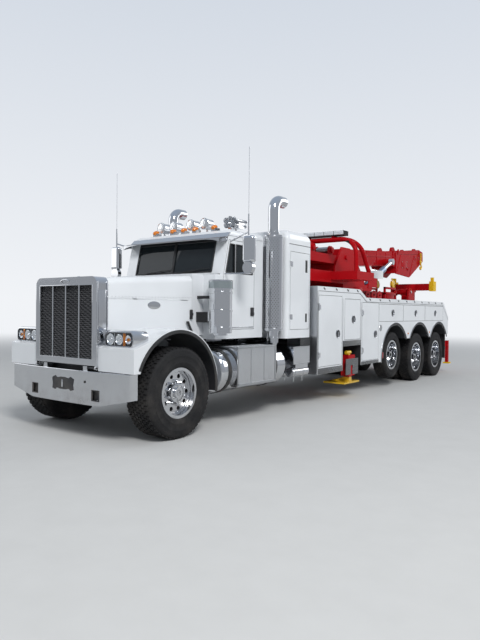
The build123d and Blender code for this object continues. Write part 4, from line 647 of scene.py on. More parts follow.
# Repeats: one small form set down at many places by a node tree
def repeat_tree(name, form):
    """form is "stud", an upright drum, or "dome" or "block"; each place has its facing and its way."""
    tree = bpy.data.node_groups.new(name, "GeometryNodeTree")
    face = tree.interface
    face.new_socket("Places", in_out="INPUT", socket_type="NodeSocketGeometry")
    face.new_socket("Form", in_out="OUTPUT", socket_type="NodeSocketGeometry")
    for label, kind in (("Size", "NodeSocketVector"), ("Sides", "NodeSocketInt"),
                        ("Finish", "NodeSocketMaterial")):
        face.new_socket(label, in_out="INPUT", socket_type=kind)
    nodes = Nodes(tree)

    def given(label):
        return nodes.node("NodeGroupInput", output=label)

    if form == "stud":
        solid = nodes.node("GeometryNodeMeshCylinder", None,
                           {"Vertices": given("Sides"), "Radius": 0.5, "Depth": 1.0}, "Mesh")
    elif form == "dome":
        solid = nodes.node("GeometryNodeMeshUVSphere", None,
                           {"Segments": given("Sides"), "Rings": 6, "Radius": 0.5}, "Mesh")
    else:
        solid = nodes.node("GeometryNodeMeshCube", output="Mesh")
    facing, way = (nodes.node("GeometryNodeInputNamedAttribute", {"data_type": "FLOAT_VECTOR"},
                              {"Name": label}, "Attribute") for label in ("facing", "way"))
    raised = nodes.node("FunctionNodeAlignRotationToVector", {"axis": "Z"}, {"Vector": facing})
    turned = nodes.node("FunctionNodeAlignRotationToVector", {"axis": "X", "pivot_axis": "Z"},
                        {"Rotation": raised, "Vector": way})
    spread = nodes.node("GeometryNodeInstanceOnPoints", None, {
        "Points": given("Places"), "Instance": solid, "Rotation": turned, "Scale": given("Size")})
    whole = nodes.node("GeometryNodeRealizeInstances", None, {0: spread})
    painted = nodes.node("GeometryNodeSetMaterial", None, {"Geometry": whole, "Material": given("Finish")})
    nodes.node("NodeGroupOutput", None, {0: painted})
    return tree


TREES = {form: repeat_tree("repeat_" + form, form) for form in ("stud", "dome", "block")}


def repeated(name, form, places, size, finish, body, sides=6):
    """places are (point, facing, way) on the drawing; size is the form's own X, Y and Z."""
    carrier = bpy.data.meshes.new(name + "_places")
    carrier.from_pydata([TO_FRAME @ Vector(p[0]) for p in places], [], [])
    for column, label in ((1, "facing"), (2, "way")):
        values = carrier.attributes.new(label, "FLOAT_VECTOR", "POINT")
        for item, place in zip(values.data, places):
            item.vector = place[column]
    holder = bpy.data.objects.new(name + "_holder", carrier)
    bpy.context.collection.objects.link(holder)
    modifier = holder.modifiers.new("repeat", "NODES")
    tree = modifier.node_group = TREES[form]
    sockets = {item.name: item.identifier for item in tree.interface.items_tree if item.in_out == "INPUT"}
    modifier[sockets["Size"]] = [s * MM for s in size]
    modifier[sockets["Sides"]] = sides
    modifier[sockets["Finish"]] = finish.material
    evaluated = holder.evaluated_get(bpy.context.evaluated_depsgraph_get())
    mesh = bpy.data.meshes.new_from_object(evaluated)
    mesh.name = name
    bpy.data.objects.remove(holder)
    for polygon in mesh.polygons:
        polygon.use_smooth = form == "dome"
    piece = bpy.data.objects.new(name, mesh)
    bpy.context.collection.objects.link(piece)
    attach(piece, body)
    return piece


def ring_places(x, y, z, radius, count, sign, offset=0.0):
    """Places round an axle's line, facing out from the truck's side."""
    turns = [2 * pi * i / count + offset for i in range(count)]
    return [((x * sign, y + radius * cos(a), z + radius * sin(a)), (sign, 0, 0), (0, cos(a), sin(a)))
            for a in turns]


def row_places(start, end, count, facing, way):
    """Places in a straight row from start to end."""
    start, end = Vector(start), Vector(end)
    return [(start.lerp(end, i / (count - 1)), facing, way) for i in range(count)]


# Wheels
Wheel = namedtuple("Wheel", "name y z radius width tyres rim disc hub ribs lugs")
WHEELS = [  # y and z give the axle's line, tyres the middles of one side's tyres
    Wheel("front", 0, 556, 556, 400, [1030], 286, 1120, 1188, 7, 54),
    Wheel("pusher", PUSHER, 670, 480, 275, [1100], 286, 1030, 1190, 5, 46),
    Wheel("drive_front", DRIVE_FRONT, 545, 545, 275, [775, 1100], 311, 1012, 1190, 5, 50),
    Wheel("drive_rear", DRIVE_REAR, 545, 545, 275, [775, 1100], 311, 1012, 1190, 5, 50),
]
TREAD_DEPTH = 15.0
LUG_LEAN = 0.32
NUT_CIRCLE, NUTS, NUT_TURN = 142, 10, 0.31
BOLT_CIRCLE, BOLTS = 84, 8


def tyre_profile(wheel, centre):
    """From the inner bead over the tread's floor to the outer bead, with the side wall's rings."""
    rim, half, bead = wheel.rim, wheel.width / 2, wheel.width / 2 - 35
    floor = wheel.radius - TREAD_DEPTH
    side = [(bead - 8, rim + 2), (bead + 4, rim + 26), (half * 0.90, rim + 34), (half * 0.955, rim + 50)]
    wall = wheel.radius - rim
    for share, out in ((0.30, 0.985), (0.325, 0.995), (0.335, 0.985), (0.48, 1.0), (0.60, 0.995),
                       (0.605, 1.0), (0.63, 1.0), (0.635, 0.985), (0.74, 0.97), (0.80, 0.955),
                       (0.805, 0.965), (0.83, 0.955)):
        side.append((half * out, rim + wall * share))
    side += [(half * 0.93, floor - 16), (half * 0.86, floor)]
    return [(centre - x, r) for x, r in side] + [(centre + x, r) for x, r in reversed(side)]


def tyre_walls(wheel, side, sign, body):
    """The carcass of each tyre, which stands for the plain solid."""
    carcass = Shape()
    for centre in wheel.tyres:
        carcass.turned(tyre_profile(wheel, centre), (0, wheel.y, wheel.z), "X", 96)
    name = f"{wheel.name}_{side}"
    piece = carcass.sided(sign).made(f"tyre_walls_{name}", tyre_rubber, body, "tyre", 50)
    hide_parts(f"tyre_{name}")


def tread(wheel, side, sign, body):
    """Leaning blocks on the inner ribs and straight ones on the shoulders."""
    blocks, shoulders = [], []
    middle = wheel.radius - TREAD_DEPTH / 2 - 1.2
    pitch = wheel.width * 0.84 / wheel.ribs
    for centre in wheel.tyres:
        for rib in range(wheel.ribs):
            outer = rib in (0, wheel.ribs - 1)
            across = centre + (rib - (wheel.ribs - 1) / 2) * pitch
            lean = 0.0 if outer else (LUG_LEAN if rib % 2 else -LUG_LEAN)
            for i in range(wheel.lugs):
                a = 2 * pi * (i + (rib % 2) * 0.5) / wheel.lugs
                place = ((across * sign, wheel.y + middle * cos(a), wheel.z + middle * sin(a)),
                         (0, cos(a), sin(a)), (1, -sin(a) * lean, cos(a) * lean))
                (shoulders if outer else blocks).append(place)
    length = 2 * pi * wheel.radius / wheel.lugs
    repeated(f"tread_blocks_{wheel.name}_{side}", "block", blocks,
             (pitch * 0.80, length * 0.74, TREAD_DEPTH), tyre_rubber, body)
    repeated(f"tread_shoulders_{wheel.name}_{side}", "block", shoulders,
             (pitch * 1.02, length * 0.66, TREAD_DEPTH), tyre_rubber, body)


def hub(wheel, side, sign, body):
    """Nuts and their caps, the hub's cover and its bolts, and the brake drum behind the disc."""
    name, y, z, disc, end, rim = f"{wheel.name}_{side}", wheel.y, wheel.z, wheel.disc, wheel.hub, wheel.rim
    repeated(f"lug_nuts_{name}", "stud", ring_places(disc + 12, y, z, NUT_CIRCLE, NUTS, sign, NUT_TURN),
             (34, 34, 44), chrome, body, 6)
    repeated(f"lug_caps_{name}", "dome", ring_places(disc + 34, y, z, NUT_CIRCLE, NUTS, sign, NUT_TURN),
             (33, 33, 26), chrome, body, 12)
    cover = Shape()
    cover.turned([(disc + 20, 118), (disc + 26, 122), (disc + 46, 118), (disc + 50, 100)],
                 (0, y, z), "X", 40)
    cover.turned([(end - 30, 70), (end - 12, 68), (end - 3, 56), (end, 40), (end, 0.01)],
                 (0, y, z), "X", 40)
    cover.turned([(disc + 1, rim - 22), (disc + 8, rim - 26), (disc + 8, rim - 40), (disc + 1, rim - 44)],
                 (0, y, z), "X", 64)
    cover.sided(sign).made(f"hub_cover_{name}", chrome, body, "chrome")
    repeated(f"hub_bolts_{name}", "stud", ring_places(disc + 48, y, z, BOLT_CIRCLE, BOLTS, sign),
             (16, 16, 12), steel, body, 6)
    drum = Shape().turned([(disc - 60, 30), (disc - 60, rim - 30)], (0, y, z), "X", 40)
    drum.sided(sign).made(f"brake_drum_{name}", black, body, "frame_black")


def wheels():
    """Tyres, tread and hubs, each riding on its own wheel."""
    for wheel in WHEELS:
        for side, sign in SIDES:
            body = f"wheel_{wheel.name}_{side}"
            for part in (tyre_walls, tread, hub):
                part(wheel, side, sign, body)


# Front end
GRILLE_HALF, GRILLE_FOOT, GRILLE_HEIGHT = 515, 970, 880.0
MESH_ROWS, MESH_BENDS, BENDS_A_WAVE, MESH_LIFT = 38, 66, 6.0, 5.5
LAMP_POD = (640, 1145, 1112, 1322, 75)
LAMP_HEIGHT = 1217


def grille_mesh():
    """Rows of bent strips behind the bars."""
    strips = Shape()
    pitch = GRILLE_HEIGHT / MESH_ROWS
    for row in range(MESH_ROWS):
        z = GRILLE_FOOT + pitch * (row + 0.5)
        rings = []
        for i in range(MESH_BENDS + 1):
            x = -GRILLE_HALF + 2 * GRILLE_HALF * i / MESH_BENDS
            lift = MESH_LIFT * sin(2 * pi * (i / BENDS_A_WAVE + 0.5 * (row % 2)))
            rings.append([(x, -743, z + lift), (x, -734, z + lift + 7), (x, -733, z + lift + 2),
                          (x, -739, z + lift - 4)])
        strips.skin(rings)
    strips.made("grille_mesh", mesh_black, "hood", "frame_black", 60)


def grille():
    """The mesh, the bars round it, and the shell's polished side panels and crown."""
    grille_mesh()
    edge = Shape()
    for x in (-GRILLE_HALF, GRILLE_HALF):
        edge.slab(x - 7, x + 7, -776, -744, 968, 1852, 3)
    edge.slab(-520, 520, -776, -742, 1846, 1858, 3).slab(-520, 520, -776, -742, 962, 974, 3)
    edge.made("grille_bars", chrome, "hood", "chrome")
    ribs = Shape().slab(589, 595, -745, -628, 1150, 1790, 2)
    for y in (-774, -626):
        ribs.slab(588, 602, y, y + 14, 905, 1890, 4)
    ribs.mirrored().made("grille_side_panels", chrome, "hood", "chrome")
    rivets = [place for sign in (1, -1) for place in row_places(
        (sign * 602, -619, 1160), (sign * 602, -619, 1850), 11, (sign, 0, 0), (0, 0, 1))]
    repeated("grille_side_rivets", "dome", rivets, (13, 13, 8), chrome, "hood", 10)
    crown = Shape().turned([(-8, 60), (-2, 74), (4, 78), (10, 74), (12, 60), (12, 0.01)],
                           (0, 0, 0), "Y", 36)
    for v in crown.bm.verts:
        v.co = Vector((v.co.x * 1.15, -779 + v.co.y * 0.4, 1900 + v.co.z * 0.33))
    crown.made("grille_crown_plate", chrome, "hood", "chrome")


def headlamps():
    """Rounded pods on the fenders' shelves, each with two round lamps, a turn lamp and a clear face."""
    def ring(y, inset):
        return [(x, y, z) for x, z in round_box(*LAMP_POD, inset)]

    pods = Shape().skin([ring(y, inset) for y, inset in (
        (-470, 10), (-560, 0), (-680, 0), (-695, 7), (-700, 18), (-701, 24), (-684, 26))])
    piece = pods.mirrored().made("headlamp_pods", chrome, "hood", "chrome", 30)
    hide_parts("headlamps")
    floors, bowls, amber, face = Shape(), Shape(), Shape(), Shape()
    floors.skin([ring(-684, 30), ring(-686.5, 30)])
    for x, r in ((748, 66), (898, 62), (1048, 50)):
        bowls.turned([(-685, r), (-696, r), (-698, r - 5), (-692, r - 9), (-688, r * 0.55),
                      (-690, r * 0.36), (-697, r * 0.30), (-699, 0.01)], (x, 0, LAMP_HEIGHT), "Y", 40)
    bowls.slab(819, 827, -698, -686, 1150, 1284, 2)
    amber.slab(964, 998, -700, -688, 1146, 1288, 5)
    amber.turned([(-690, 20), (-699, 18), (-701, 10), (-701, 0.01)], (1048, 0, LAMP_HEIGHT), "Y", 24)
    face.skin([ring(-701, 22), ring(-705, 26)])
    floors.mirrored().made("headlamp_floors", rubber, "hood", "frame_black")
    bowls.mirrored().made("headlamp_bowls", reflector, "hood", "chrome", 30)
    amber.mirrored().made("turn_lamps", amber_lens, "hood", "glass")
    face.mirrored().made("headlamp_faces", lamp_glass, "hood", "glass")


def arch_trim(name, body, centre, radius, x, turn, width, proud, steps, finish=rubber, slot="frame_black"):
    """A moulded lip round a wheel arch on the panel's face x, from one turn to another in degrees."""
    (y, z), (start, end), inner = centre, turn, radius - 4
    for side, sign in SIDES:
        turns = [radians(start + (end - start) * i / steps) for i in range(steps + 1)]
        path = [(x, y + inner * cos(a), z + inner * sin(a)) for a in turns]
        shape = Shape().strip(path, [(0, cos(a), sin(a)) for a in turns], width, proud)
        shape.sided(sign).made(f"{name}_{side}", finish, body, slot)


def hood_edges():
    """The lip of the front arches, and the rivets and the seam along the hood's sides."""
    arch_trim("front_arch_lip", "hood", (0, 590), 690, 1193, (-7, 157), 46, 10, 56)
    rivets = [place for sign in (1, -1) for place in row_places(
        (sign * 612, -560, 1716), (sign * 766, 680, 1732), 26, (sign, 0, 0), (0, 0, 1))]
    repeated("hood_rivets", "dome", rivets, (12, 12, 5), aluminium, "hood", 10)
    seam, runs = Shape(), 24
    for i in range(runs):
        rings = []
        for t in (i / runs, (i + 1) / runs):
            x, y = 587 + 176 * t, -598 + 1296 * t
            rings.append([(x, y, 1690), (x + 3.5, y, 1691), (x + 3.5, y, 1700), (x, y, 1701)])
        seam.skin(rings)
    seam.mirrored().made("hood_seam", white, "hood", "white_paint")


def hood_fittings():
    """Latches with their struts, the bare side plates and the spear on top."""
    hold = Shape()
    hold.slab(764, 790, 655, 697, 1440, 1570, 8).slab(768, 802, 662, 694, 1490, 1530, 6)
    hold.tube([(788, 600, 1400), (794, 690, 1235)], 17, 10).slab(770, 796, 585, 620, 1385, 1415, 5)
    hold.slab(770, 800, 672, 698, 1215, 1260, 5)
    hold.mirrored().made("hood_latches", rubber, "hood", "frame_black")
    plate = Shape().turned([(0, 60), (5, 58), (7, 50), (7, 0.01)], (0, 0, 0), "X", 32)
    middle = Vector((676, 75, 1620))
    for v in plate.bm.verts:
        v.co = Vector((v.co.x, v.co.y * 1.7, v.co.z * 0.85)) + middle
        v.co.x += (v.co.y - 75) * 0.135
    plate.mirrored().made("hood_side_plates", chrome, "hood", "chrome")
    spear = Shape().slab(-9, 9, -560, -330, 1943, 1957, 4)
    spear.turned([(-600, 3), (-585, 14), (-560, 17), (-545, 10)], (0, 0, 1958), "Y", 16)
    spear.made("hood_spear", chrome, "hood", "chrome")


def bumper_details():
    """Rolled edge, dark frames round the hooks' openings, and the middle opening with its pin."""
    path = [(x, -794 + 55 * (x / 1130) ** 2, 824) for x in (-1126 + 2252 * i / 40 for i in range(41))]
    Shape().tube(path, 7, 8).made("bumper_roll", chrome, "chassis", "chrome")
    frames = Shape()
    for sign in (1, -1):
        for x0, x1, z0, z1 in ((522, 534, 484, 616), (642, 654, 484, 616), (522, 654, 484, 494),
                               (522, 654, 606, 616)):
            frames.slab(*to_side(sign, x0, x1), -789, -770, z0, z1, 2)
        frames.slab(*to_side(sign, 534, 642), -752, -742, 494, 606, 2)
    frames.made("hook_frames", black, "chassis", "frame_black")
    wings = Shape()
    outline = [(-205, 585), (-150, 570), (-120, 596), (-60, 582), (60, 582), (120, 596), (150, 570),
               (205, 585), (196, 640), (210, 715), (150, 742), (110, 720), (40, 732), (-40, 732),
               (-110, 720), (-150, 742), (-210, 715), (-196, 640)]
    wings.prism(outline, "Y", -803, -790)
    wings.turned([(-800, 14), (-797, 15), (-794, 12), (-794, 0.01)], (410, 0, 700), "Y", 16)
    wings.made("tow_opening", black, "chassis", "frame_black")
    eye = Shape().turned([(-12, 10), (12, 10)], (0, -806, 655), "Z", 16)
    eye.slab(-14, 14, -812, -795, 610, 700, 3)
    eye.made("tow_pin", chrome, "chassis", "chrome")


# Cab
SCREEN_FOOT, SCREEN_LEAN = (1100, 2060), 120 / 530.0
PANE_LOW, PANE_HIGH = 2106, 2550
ROOF_LAMP_Z = 2860
CLEANER = (1120, 875, 0)
STACK = (1050, 2250, 0)


def on_glass(x, z, out):
    """A point on the leaning windscreen, or out from it."""
    return (x, SCREEN_FOOT[0] + SCREEN_LEAN * (z - SCREEN_FOOT[1]) + 6 - out, z)


def windscreen_details():
    """Rubber round each pane and the divider, a band of painted visor shadow, two wipers, and the visor's
    dropped ends.
    """
    seal = Shape()
    for x0, x1 in ((13, 764), (-764, -13)):
        seal.hoop([on_glass(x, z, 6) for x, z in (
            (x0, PANE_LOW), (x1, PANE_LOW), (x1, PANE_HIGH), (x0, PANE_HIGH))], 10, 8)
    # painted shadow: a near-black band across the top of the screen stands for the visor's shadow
    visor_shadow_band = [on_glass(0, z, out)[1:] for z, out in ((2546, 9), (2588, 9), (2588, 0), (2546, 0))]
    seal.prism(visor_shadow_band, "X", -772, 772)
    seal.tube([on_glass(0, PANE_LOW, 8), on_glass(0, PANE_HIGH, 8)], 8, 8)
    seal.made("windscreen_rubber", rubber, "chassis", "frame_black")
    wipers = Shape()
    for x in (-640, 90):
        wipers.tube([on_glass(x, 2080, 22), on_glass(x + 40, 2090, 30), on_glass(x + 470, 2150, 26)], 6, 6)
        wipers.tube([on_glass(x + 130, 2118, 18), on_glass(x + 640, 2160, 18)], 5, 6)
    wipers.made("wipers", rubber, "chassis", "frame_black")
    drops = Shape()
    for s in (1, -1):
        outline = ((640, 2562), (969, 2562), (969, 2498), (930, 2520), (860, 2538), (760, 2550))
        drops.prism([(s * x, z) for x, z in outline], "Y", 1029, 1033)
        drops.skin([
            [(s * 969, 1029, 2562), (s * 969, 1029, 2498), (s * 965, 1029, 2500), (s * 965, 1029, 2562)],
            [(s * 969, 1214, 2588), (s * 969, 1206, 2545), (s * 965, 1206, 2545), (s * 965, 1214, 2588)]])
    drops.made("visor_drops", chrome, "chassis", "chrome")


def roof_lamps():
    """Amber marker lamps, bullet lamps and horn bells."""
    markers = [((x, 1372, 2776), (0, -0.35, 1), (1, 0, 0)) for x in (-593, -225, 0, 225, 593)]
    repeated("marker_lamps", "dome", markers, (86, 126, 70), amber_lens, "chassis", 20)
    lamps, faces = Shape(), Shape()
    for x in (-560, -300, 60, 330):
        at = (x, 0, ROOF_LAMP_Z)
        lamps.turned([(1600, 80), (1560, 80), (1470, 84), (1452, 88), (1446, 82), (1452, 76)], at, "Y", 32)
        lamps.turned([(1600, 80), (1625, 60), (1640, 30), (1642, 0.01)], at, "Y", 32)
        faces.turned([(1452, 78), (1444, 60), (1440, 30), (1439, 0.01)], at, "Y", 32)
    for x, z, r in ((758, 2806, 34), (872, 2806, 34), (820, 2878, 38), (744, 2872, 28), (890, 2872, 28)):
        bell = [(1758, 0.01), (1755, r - 8), (1740, r - 2), (1530, r - 6), (1478, r), (1452, r + 14),
                (1446, r + 13), (1470, r - 4), (1500, r * 0.4), (1500, 0.01)]
        lamps.turned(bell, (x, 0, z), "Y", 28)
    lamps.made("roof_lamp_shells", chrome, "chassis", "chrome")
    faces.made("roof_lamp_faces", clear_lens, "chassis", "glass")


def cab_edges():
    """The drip rails over the doors, and the sleeper's seams and dotted skirts."""
    drip = Shape().slab(964, 980, 1240, 2060, 2620, 2634, 4)
    drip.mirrored().made("drip_rails", white, "chassis", "white_paint")
    seam = Shape().tube([(1200, 2470, 2612), (1200, 3110, 2612)], 4.5, 8)
    seam.mirrored().made("sleeper_seams", rubber, "chassis", "frame_black")
    skirt = Shape().slab(1186, 1192, 2840, 3156, 1014, 1142, 1)
    skirt.mirrored().made("sleeper_skirts", rubber, "chassis", "frame_black")
    dots = [((sign * 1192, 2856 + 24 * i, 1034 + 24 * j + 12 * (i % 2)), (sign, 0, 0), (0, 1, 1))
            for sign in (1, -1) for i in range(13) for j in range(4)]
    repeated("skirt_dots", "stud", dots, (11, 6, 3), aluminium, "chassis", 6)


def door_details():
    """Window rubbers, handle, trim strip and mirror faces, which swing with each cab door."""
    panes = (((1172, 2097), (1265, 2503), (1378, 2503), (1378, 2097)),
             ((1408, 2097), (1408, 2503), (1813, 2503), (1813, 2097)))
    for side, sign in SIDES:
        body = "cab_door_" + side
        seal = Shape()
        for pane in panes:
            seal.hoop([Vector((969, y, z)) for y, z in pane], 9, 6)
        seal.sided(sign).made("window_rubber_" + side, rubber, body, "frame_black")
        handle = Shape()
        handle.slab(968, 992, 1768, 1836, 1486, 1612, 8).slab(984, 1004, 1778, 1826, 1498, 1545, 6)
        handle.sided(sign).made("door_handle_" + side, rubber, body, "frame_black")
        trims = Shape().slab(969, 975, 1190, 1845, 1318, 1330, 2)
        trims.sided(sign).made("door_trim_" + side, chrome, body, "chrome")
        mirror = Shape().slab(1258, 1422, 1252, 1258, 2236, 2565, 2)
        mirror.turned([(1247, 80), (1249, 0.01)], (1340, 0, 2150), "Y", 32)
        mirror.sided(sign).made("mirror_glass_" + side, reflector, body, "chrome")


def cleaner_details():
    """Bands, the rings under and over the clear cap, and the lid of each air cleaner."""
    bands = Shape()
    for z in (1330, 1560, 1800):
        bands.turned([(z - 16, 156), (z - 14, 161), (z + 14, 161), (z + 16, 156)], CLEANER, "Z", 48)
    bands.turned([(1846, 150), (1846, 170), (1856, 170), (1856, 150)], CLEANER, "Z", 48)
    bands.turned([(1958, 170), (1966, 160), (1972, 90), (1974, 0.01)], CLEANER, "Z", 48)
    bands.mirrored().made("cleaner_bands", chrome, "chassis", "chrome")


def shield_details():
    """Punched dots up each heat shield, apart from its outermost strip, and the stack's clamps."""
    rows, round_it, rise = 48, 22, 29
    dots = []
    for sign in (1, -1):
        for row in range(rows):
            for k in range(round_it):
                a = 2 * pi * (k + (row % 2) * 0.5) / round_it
                if abs(cos(a)) > 0.92 and cos(a) * sign > 0:
                    continue
                out = Vector((cos(a), sin(a), 0))
                at = Vector((sign * STACK[0], STACK[1], 1316 + row * rise)) + out * 150
                dots.append((at, tuple(out), (0, 0, 1)))
    repeated("shield_dots", "stud", dots, (17, 17, 2.4), black, "chassis", 7)
    clamps = Shape()
    for z in (1290, 2690, 1150, 2760):
        r = 152 if 1200 < z < 2720 else 92
        clamps.turned([(z - 14, r), (z - 12, r + 5), (z + 12, r + 5), (z + 14, r)], STACK, "Z", 40)
    clamps.mirrored().made("stack_clamps", chrome, "chassis", "chrome")


def tank_details():
    """Straps and caps of the tanks."""
    straps = Shape()
    for y in (1000, 2120):
        straps.turned([(y - 32, 300), (y - 30, 309), (y + 30, 309), (y + 32, 300)], (900, 0, 735), "Y", 64)
    straps.mirrored().made("tank_straps", rubber, "chassis", "frame_black")
    caps = Shape().turned([(0, 52), (22, 52), (30, 44), (32, 0.01)], (900, 2250, 1030), "Z", 28)
    caps.mirrored().made("tank_caps", chrome, "chassis", "chrome")


def step_details():
    """Raised dots on the steps, hangers under the air cans and the frames of the step boxes."""
    dots = [((sign * (948 + 38 * i), 1128 + 40 * j + 20 * (i % 2), 1061.5), (0, 0, 1), (1, 0, 0))
            for sign in (1, -1) for i in range(8) for j in range(22)]
    dots += [((sign * (1170 + 30 * i), 1120 + 40 * j, 545.5), (0, 0, 1), (1, 0, 0))
             for sign in (1, -1) for i in range(3) for j in range(23)]
    repeated("step_dots", "dome", dots, (20, 20, 9), aluminium, "chassis", 8)
    hangers = Shape()
    for x in (1000, 1165):
        for y in (2640, 2900):
            hangers.turned([(y - 12, 75), (y - 10, 81), (y + 10, 81), (y + 12, 75)], (x, 0, 600), "Y", 36)
            hangers.tube([(x + 30, y, 528), (x + 30, y, 452)], 6, 8)
    hangers.mirrored().made("can_clamps", chrome, "chassis", "chrome")
    frames = Shape()
    for y0, y1, z0, z1 in ((1098, 1128, 545, 1050), (2022, 2052, 545, 1050), (1098, 2052, 1036, 1066),
                           (1098, 2052, 520, 560)):
        frames.slab(1240, 1252, y0, y1, z0, z1, 3)
    for y in (1420, 1740):
        frames.slab(1243, 1249, y - 5, y + 5, 560, 1036, 2)
    for z0, z1 in ((730, 742), (998, 1010)):
        frames.slab(1238, 1244, 2560, 3060, z0, z1, 2)
    frames.mirrored().made("step_frames", aluminium, "chassis", "bright_metal")


# Recovery body: lockers are a name, the rear edge, foot and top; panels are front, rear, foot and top
LOCKERS = (("front", 4095, 640, 1840), ("rear", 5690, 640, 1750))
FIXED_PANELS = ((4200, 4850, 1060, 1800), (5710, 6995, 1375, 1735), (7010, 8370, 1375, 1735),
                (8385, 9700, 1375, 1735))
BODY_ARCHES = (("pusher", PUSHER, 32, 184), ("drive_front", DRIVE_FRONT, 32, 148),
               ("drive_rear", DRIVE_REAR, 30, 150))
TAIL_LAMPS, TAIL_LAMP_Z = (860, 990, 1120), 1240


def latch(shape, dark, y, z):
    """A round paddle latch: bright ring, dark dish, raised paddle and its keyhole boss."""
    shape.turned([(1293, 78), (1300, 76), (1302, 70), (1298, 60), (1296, 59)], (0, y, z), "X", 32)
    dark.turned([(1296, 60), (1296.5, 0.01)], (0, y, z), "X", 24)
    shape.slab(1296, 1303, y - 20, y + 20, z - 50, z + 32, 3)
    shape.turned([(1303, 12), (1305, 10), (1305, 0.01)], (0, y, z + 12), "X", 14)


def latches():
    """A latch on each locker door, low and to its rear, and on each fixed panel."""
    for side, sign in SIDES:
        for name, rear, foot, top in LOCKERS:
            shape, dark = Shape(), Shape()
            latch(shape, dark, rear - 150, (foot + top) / 2 - 60)
            body = f"locker_door_{name}_{side}"
            shape.sided(sign).made(f"latch_{name}_{side}", latch_steel, body, "chrome")
            dark.sided(sign).made(f"latch_dish_{name}_{side}", rubber, body, "frame_black")
    shape, dark = Shape(), Shape()
    for front, rear, foot, top in FIXED_PANELS:
        latch(shape, dark, front + (rear - front) * 0.55, (foot + top) / 2)
    shape.mirrored().made("fixed_latches", latch_steel, "chassis", "chrome")
    dark.mirrored().made("fixed_latch_dishes", rubber, "chassis", "frame_black")


def arch_lips():
    """A rubber lip and a chrome bead round each of the body's wheel arches."""
    for name, y, start, end in BODY_ARCHES:
        arch_trim(f"{name}_arch_lip", "chassis", (y, 600), 706, 1292, (start, end), 46, 8, 44)
        arch_trim(f"{name}_arch_bead", "chassis", (y, 600), 752, 1292, (start, end), 10, 9, 44,
                  chrome, "chrome")


def body_rails():
    """The rail along the body's top, which steps down behind the lockers, and a dark line of painted
    shadow under it.
    """
    rail = [(3200, 1985), (4800, 1985), (5090, 1840), (9700, 1840), (10119, 1451), (10119, 1378),
            (9676, 1765), (5110, 1765), (4820, 1910), (3200, 1910)]
    rails = Shape().prism(rail, "X", 1291, 1301)
    rails.mirrored().made("body_rails", white, "chassis", "white_paint")
    # painted shadow: a dark tube along the rail's lower edge
    under = ((3250, 1910), (4820, 1910), (5110, 1765), (9676, 1765))
    lines = Shape()
    for (y0, z0), (y1, z1) in zip(under, under[1:]):
        lines.tube([(1294, y0, z0 - 3), (1294, y1, z1 - 3)], 4, 6)
    lines.mirrored().made("rail_shadow_gaps", rubber, "chassis", "frame_black")


def body_trim():
    """Posts between the lockers, kick plates, the filler caps and the hooks along the rail."""
    posts = Shape().slab(1290, 1296, 3200, 3246, 522, 1908, 2)
    posts.slab(1290, 1295, 4119, 4137, 522, 1800, 1).slab(1290, 1295, 4873, 4891, 572, 1760, 1)
    posts.mirrored().made("body_posts", aluminium, "chassis", "bright_metal")
    strips = Shape().slab(1290, 1297, 3250, 4118, 522, 620, 2)
    strips.slab(1290, 1297, 4900, 5700, 572, 632, 2).slab(1290, 1297, 4142, 4870, 952, 1050, 2)
    strips.mirrored().made("kick_plates", tread_plate, "chassis", "bright_metal")
    cap = Shape().turned([(1292, 66), (1299, 62), (1299, 0.01)], (0, 5790, 1250), "X", 28)
    cap.mirrored().made("filler_cap", aluminium, "chassis", "bright_metal")
    along = [(y, 1950) for y in (3420, 3860, 4300, 4700)] + [(y, 1806) for y in range(5250, 9700, 480)]
    hooks = [((sign * 1302, y, z), (sign, 0, 0), (0, 0.5, 1)) for sign in (1, -1) for y, z in along]
    repeated("rail_hooks", "block", hooks, (18, 56, 14), rubber, "chassis")


def body_lamps():
    """Side reflectors and marker lamps, and three round lamps at each rear corner."""
    lamp = Shape().slab(1290, 1300, 5870, 5930, 640, 760, 4)
    lamp.mirrored().made("side_reflectors", red_lens, "chassis", "glass")
    small = Shape()
    for y in (7300, 8700):
        small.slab(1290, 1302, y - 30, y + 30, 1090, 1120, 4)
    small.mirrored().made("side_marker_lamps", amber_lens, "chassis", "glass")
    tails, rims = Shape(), Shape()
    for x in TAIL_LAMPS:
        at = (x, 0, TAIL_LAMP_Z)
        tails.turned([(10116, 48), (10126, 46), (10131, 34), (10132, 0.01)], at, "Y", 28)
        rims.turned([(10116, 58), (10124, 56), (10126, 48)], at, "Y", 28)
    tails.mirrored().made("tail_lamps", red_lens, "chassis", "glass")
    rims.mirrored().made("tail_lamp_rims", chrome, "chassis", "chrome")


# Recovery gear
REELS, REEL_Z = (7420, 7760, 8100), 1955
LOCKER_TOP = 1824
MAST_SHEAVES = (0, 10220, 2130)
DRUMS, DRUM_Z = (4730, 5490), 2832
HOOK_Y, LIGHTS, LIGHT_PITCH, LIGHTS_FROM = 10640, 8, 215, -860


def hose_reels(base, hoses):
    """Three reels across the deck, each with two bundles of hose between its flanges."""
    for y in REELS:
        at = (0, y, REEL_Z)
        for x in (-270, 0, 270):
            flange = [(x - 8, 50), (x - 8, 128), (x - 5, 131), (x + 5, 131), (x + 8, 128), (x + 8, 50)]
            base.turned(flange, at, "X", 36)
        for sign in (1, -1):
            base.slab(*to_side(sign, 256, 284), y - 50, y + 50, LOCKER_TOP, 1965, 4)
        for x0, x1 in ((-262, -8), (8, 262)):
            hoses.turned(wound(x0, x1, 9, 60, 96, 13, 5), at, "X", 28)


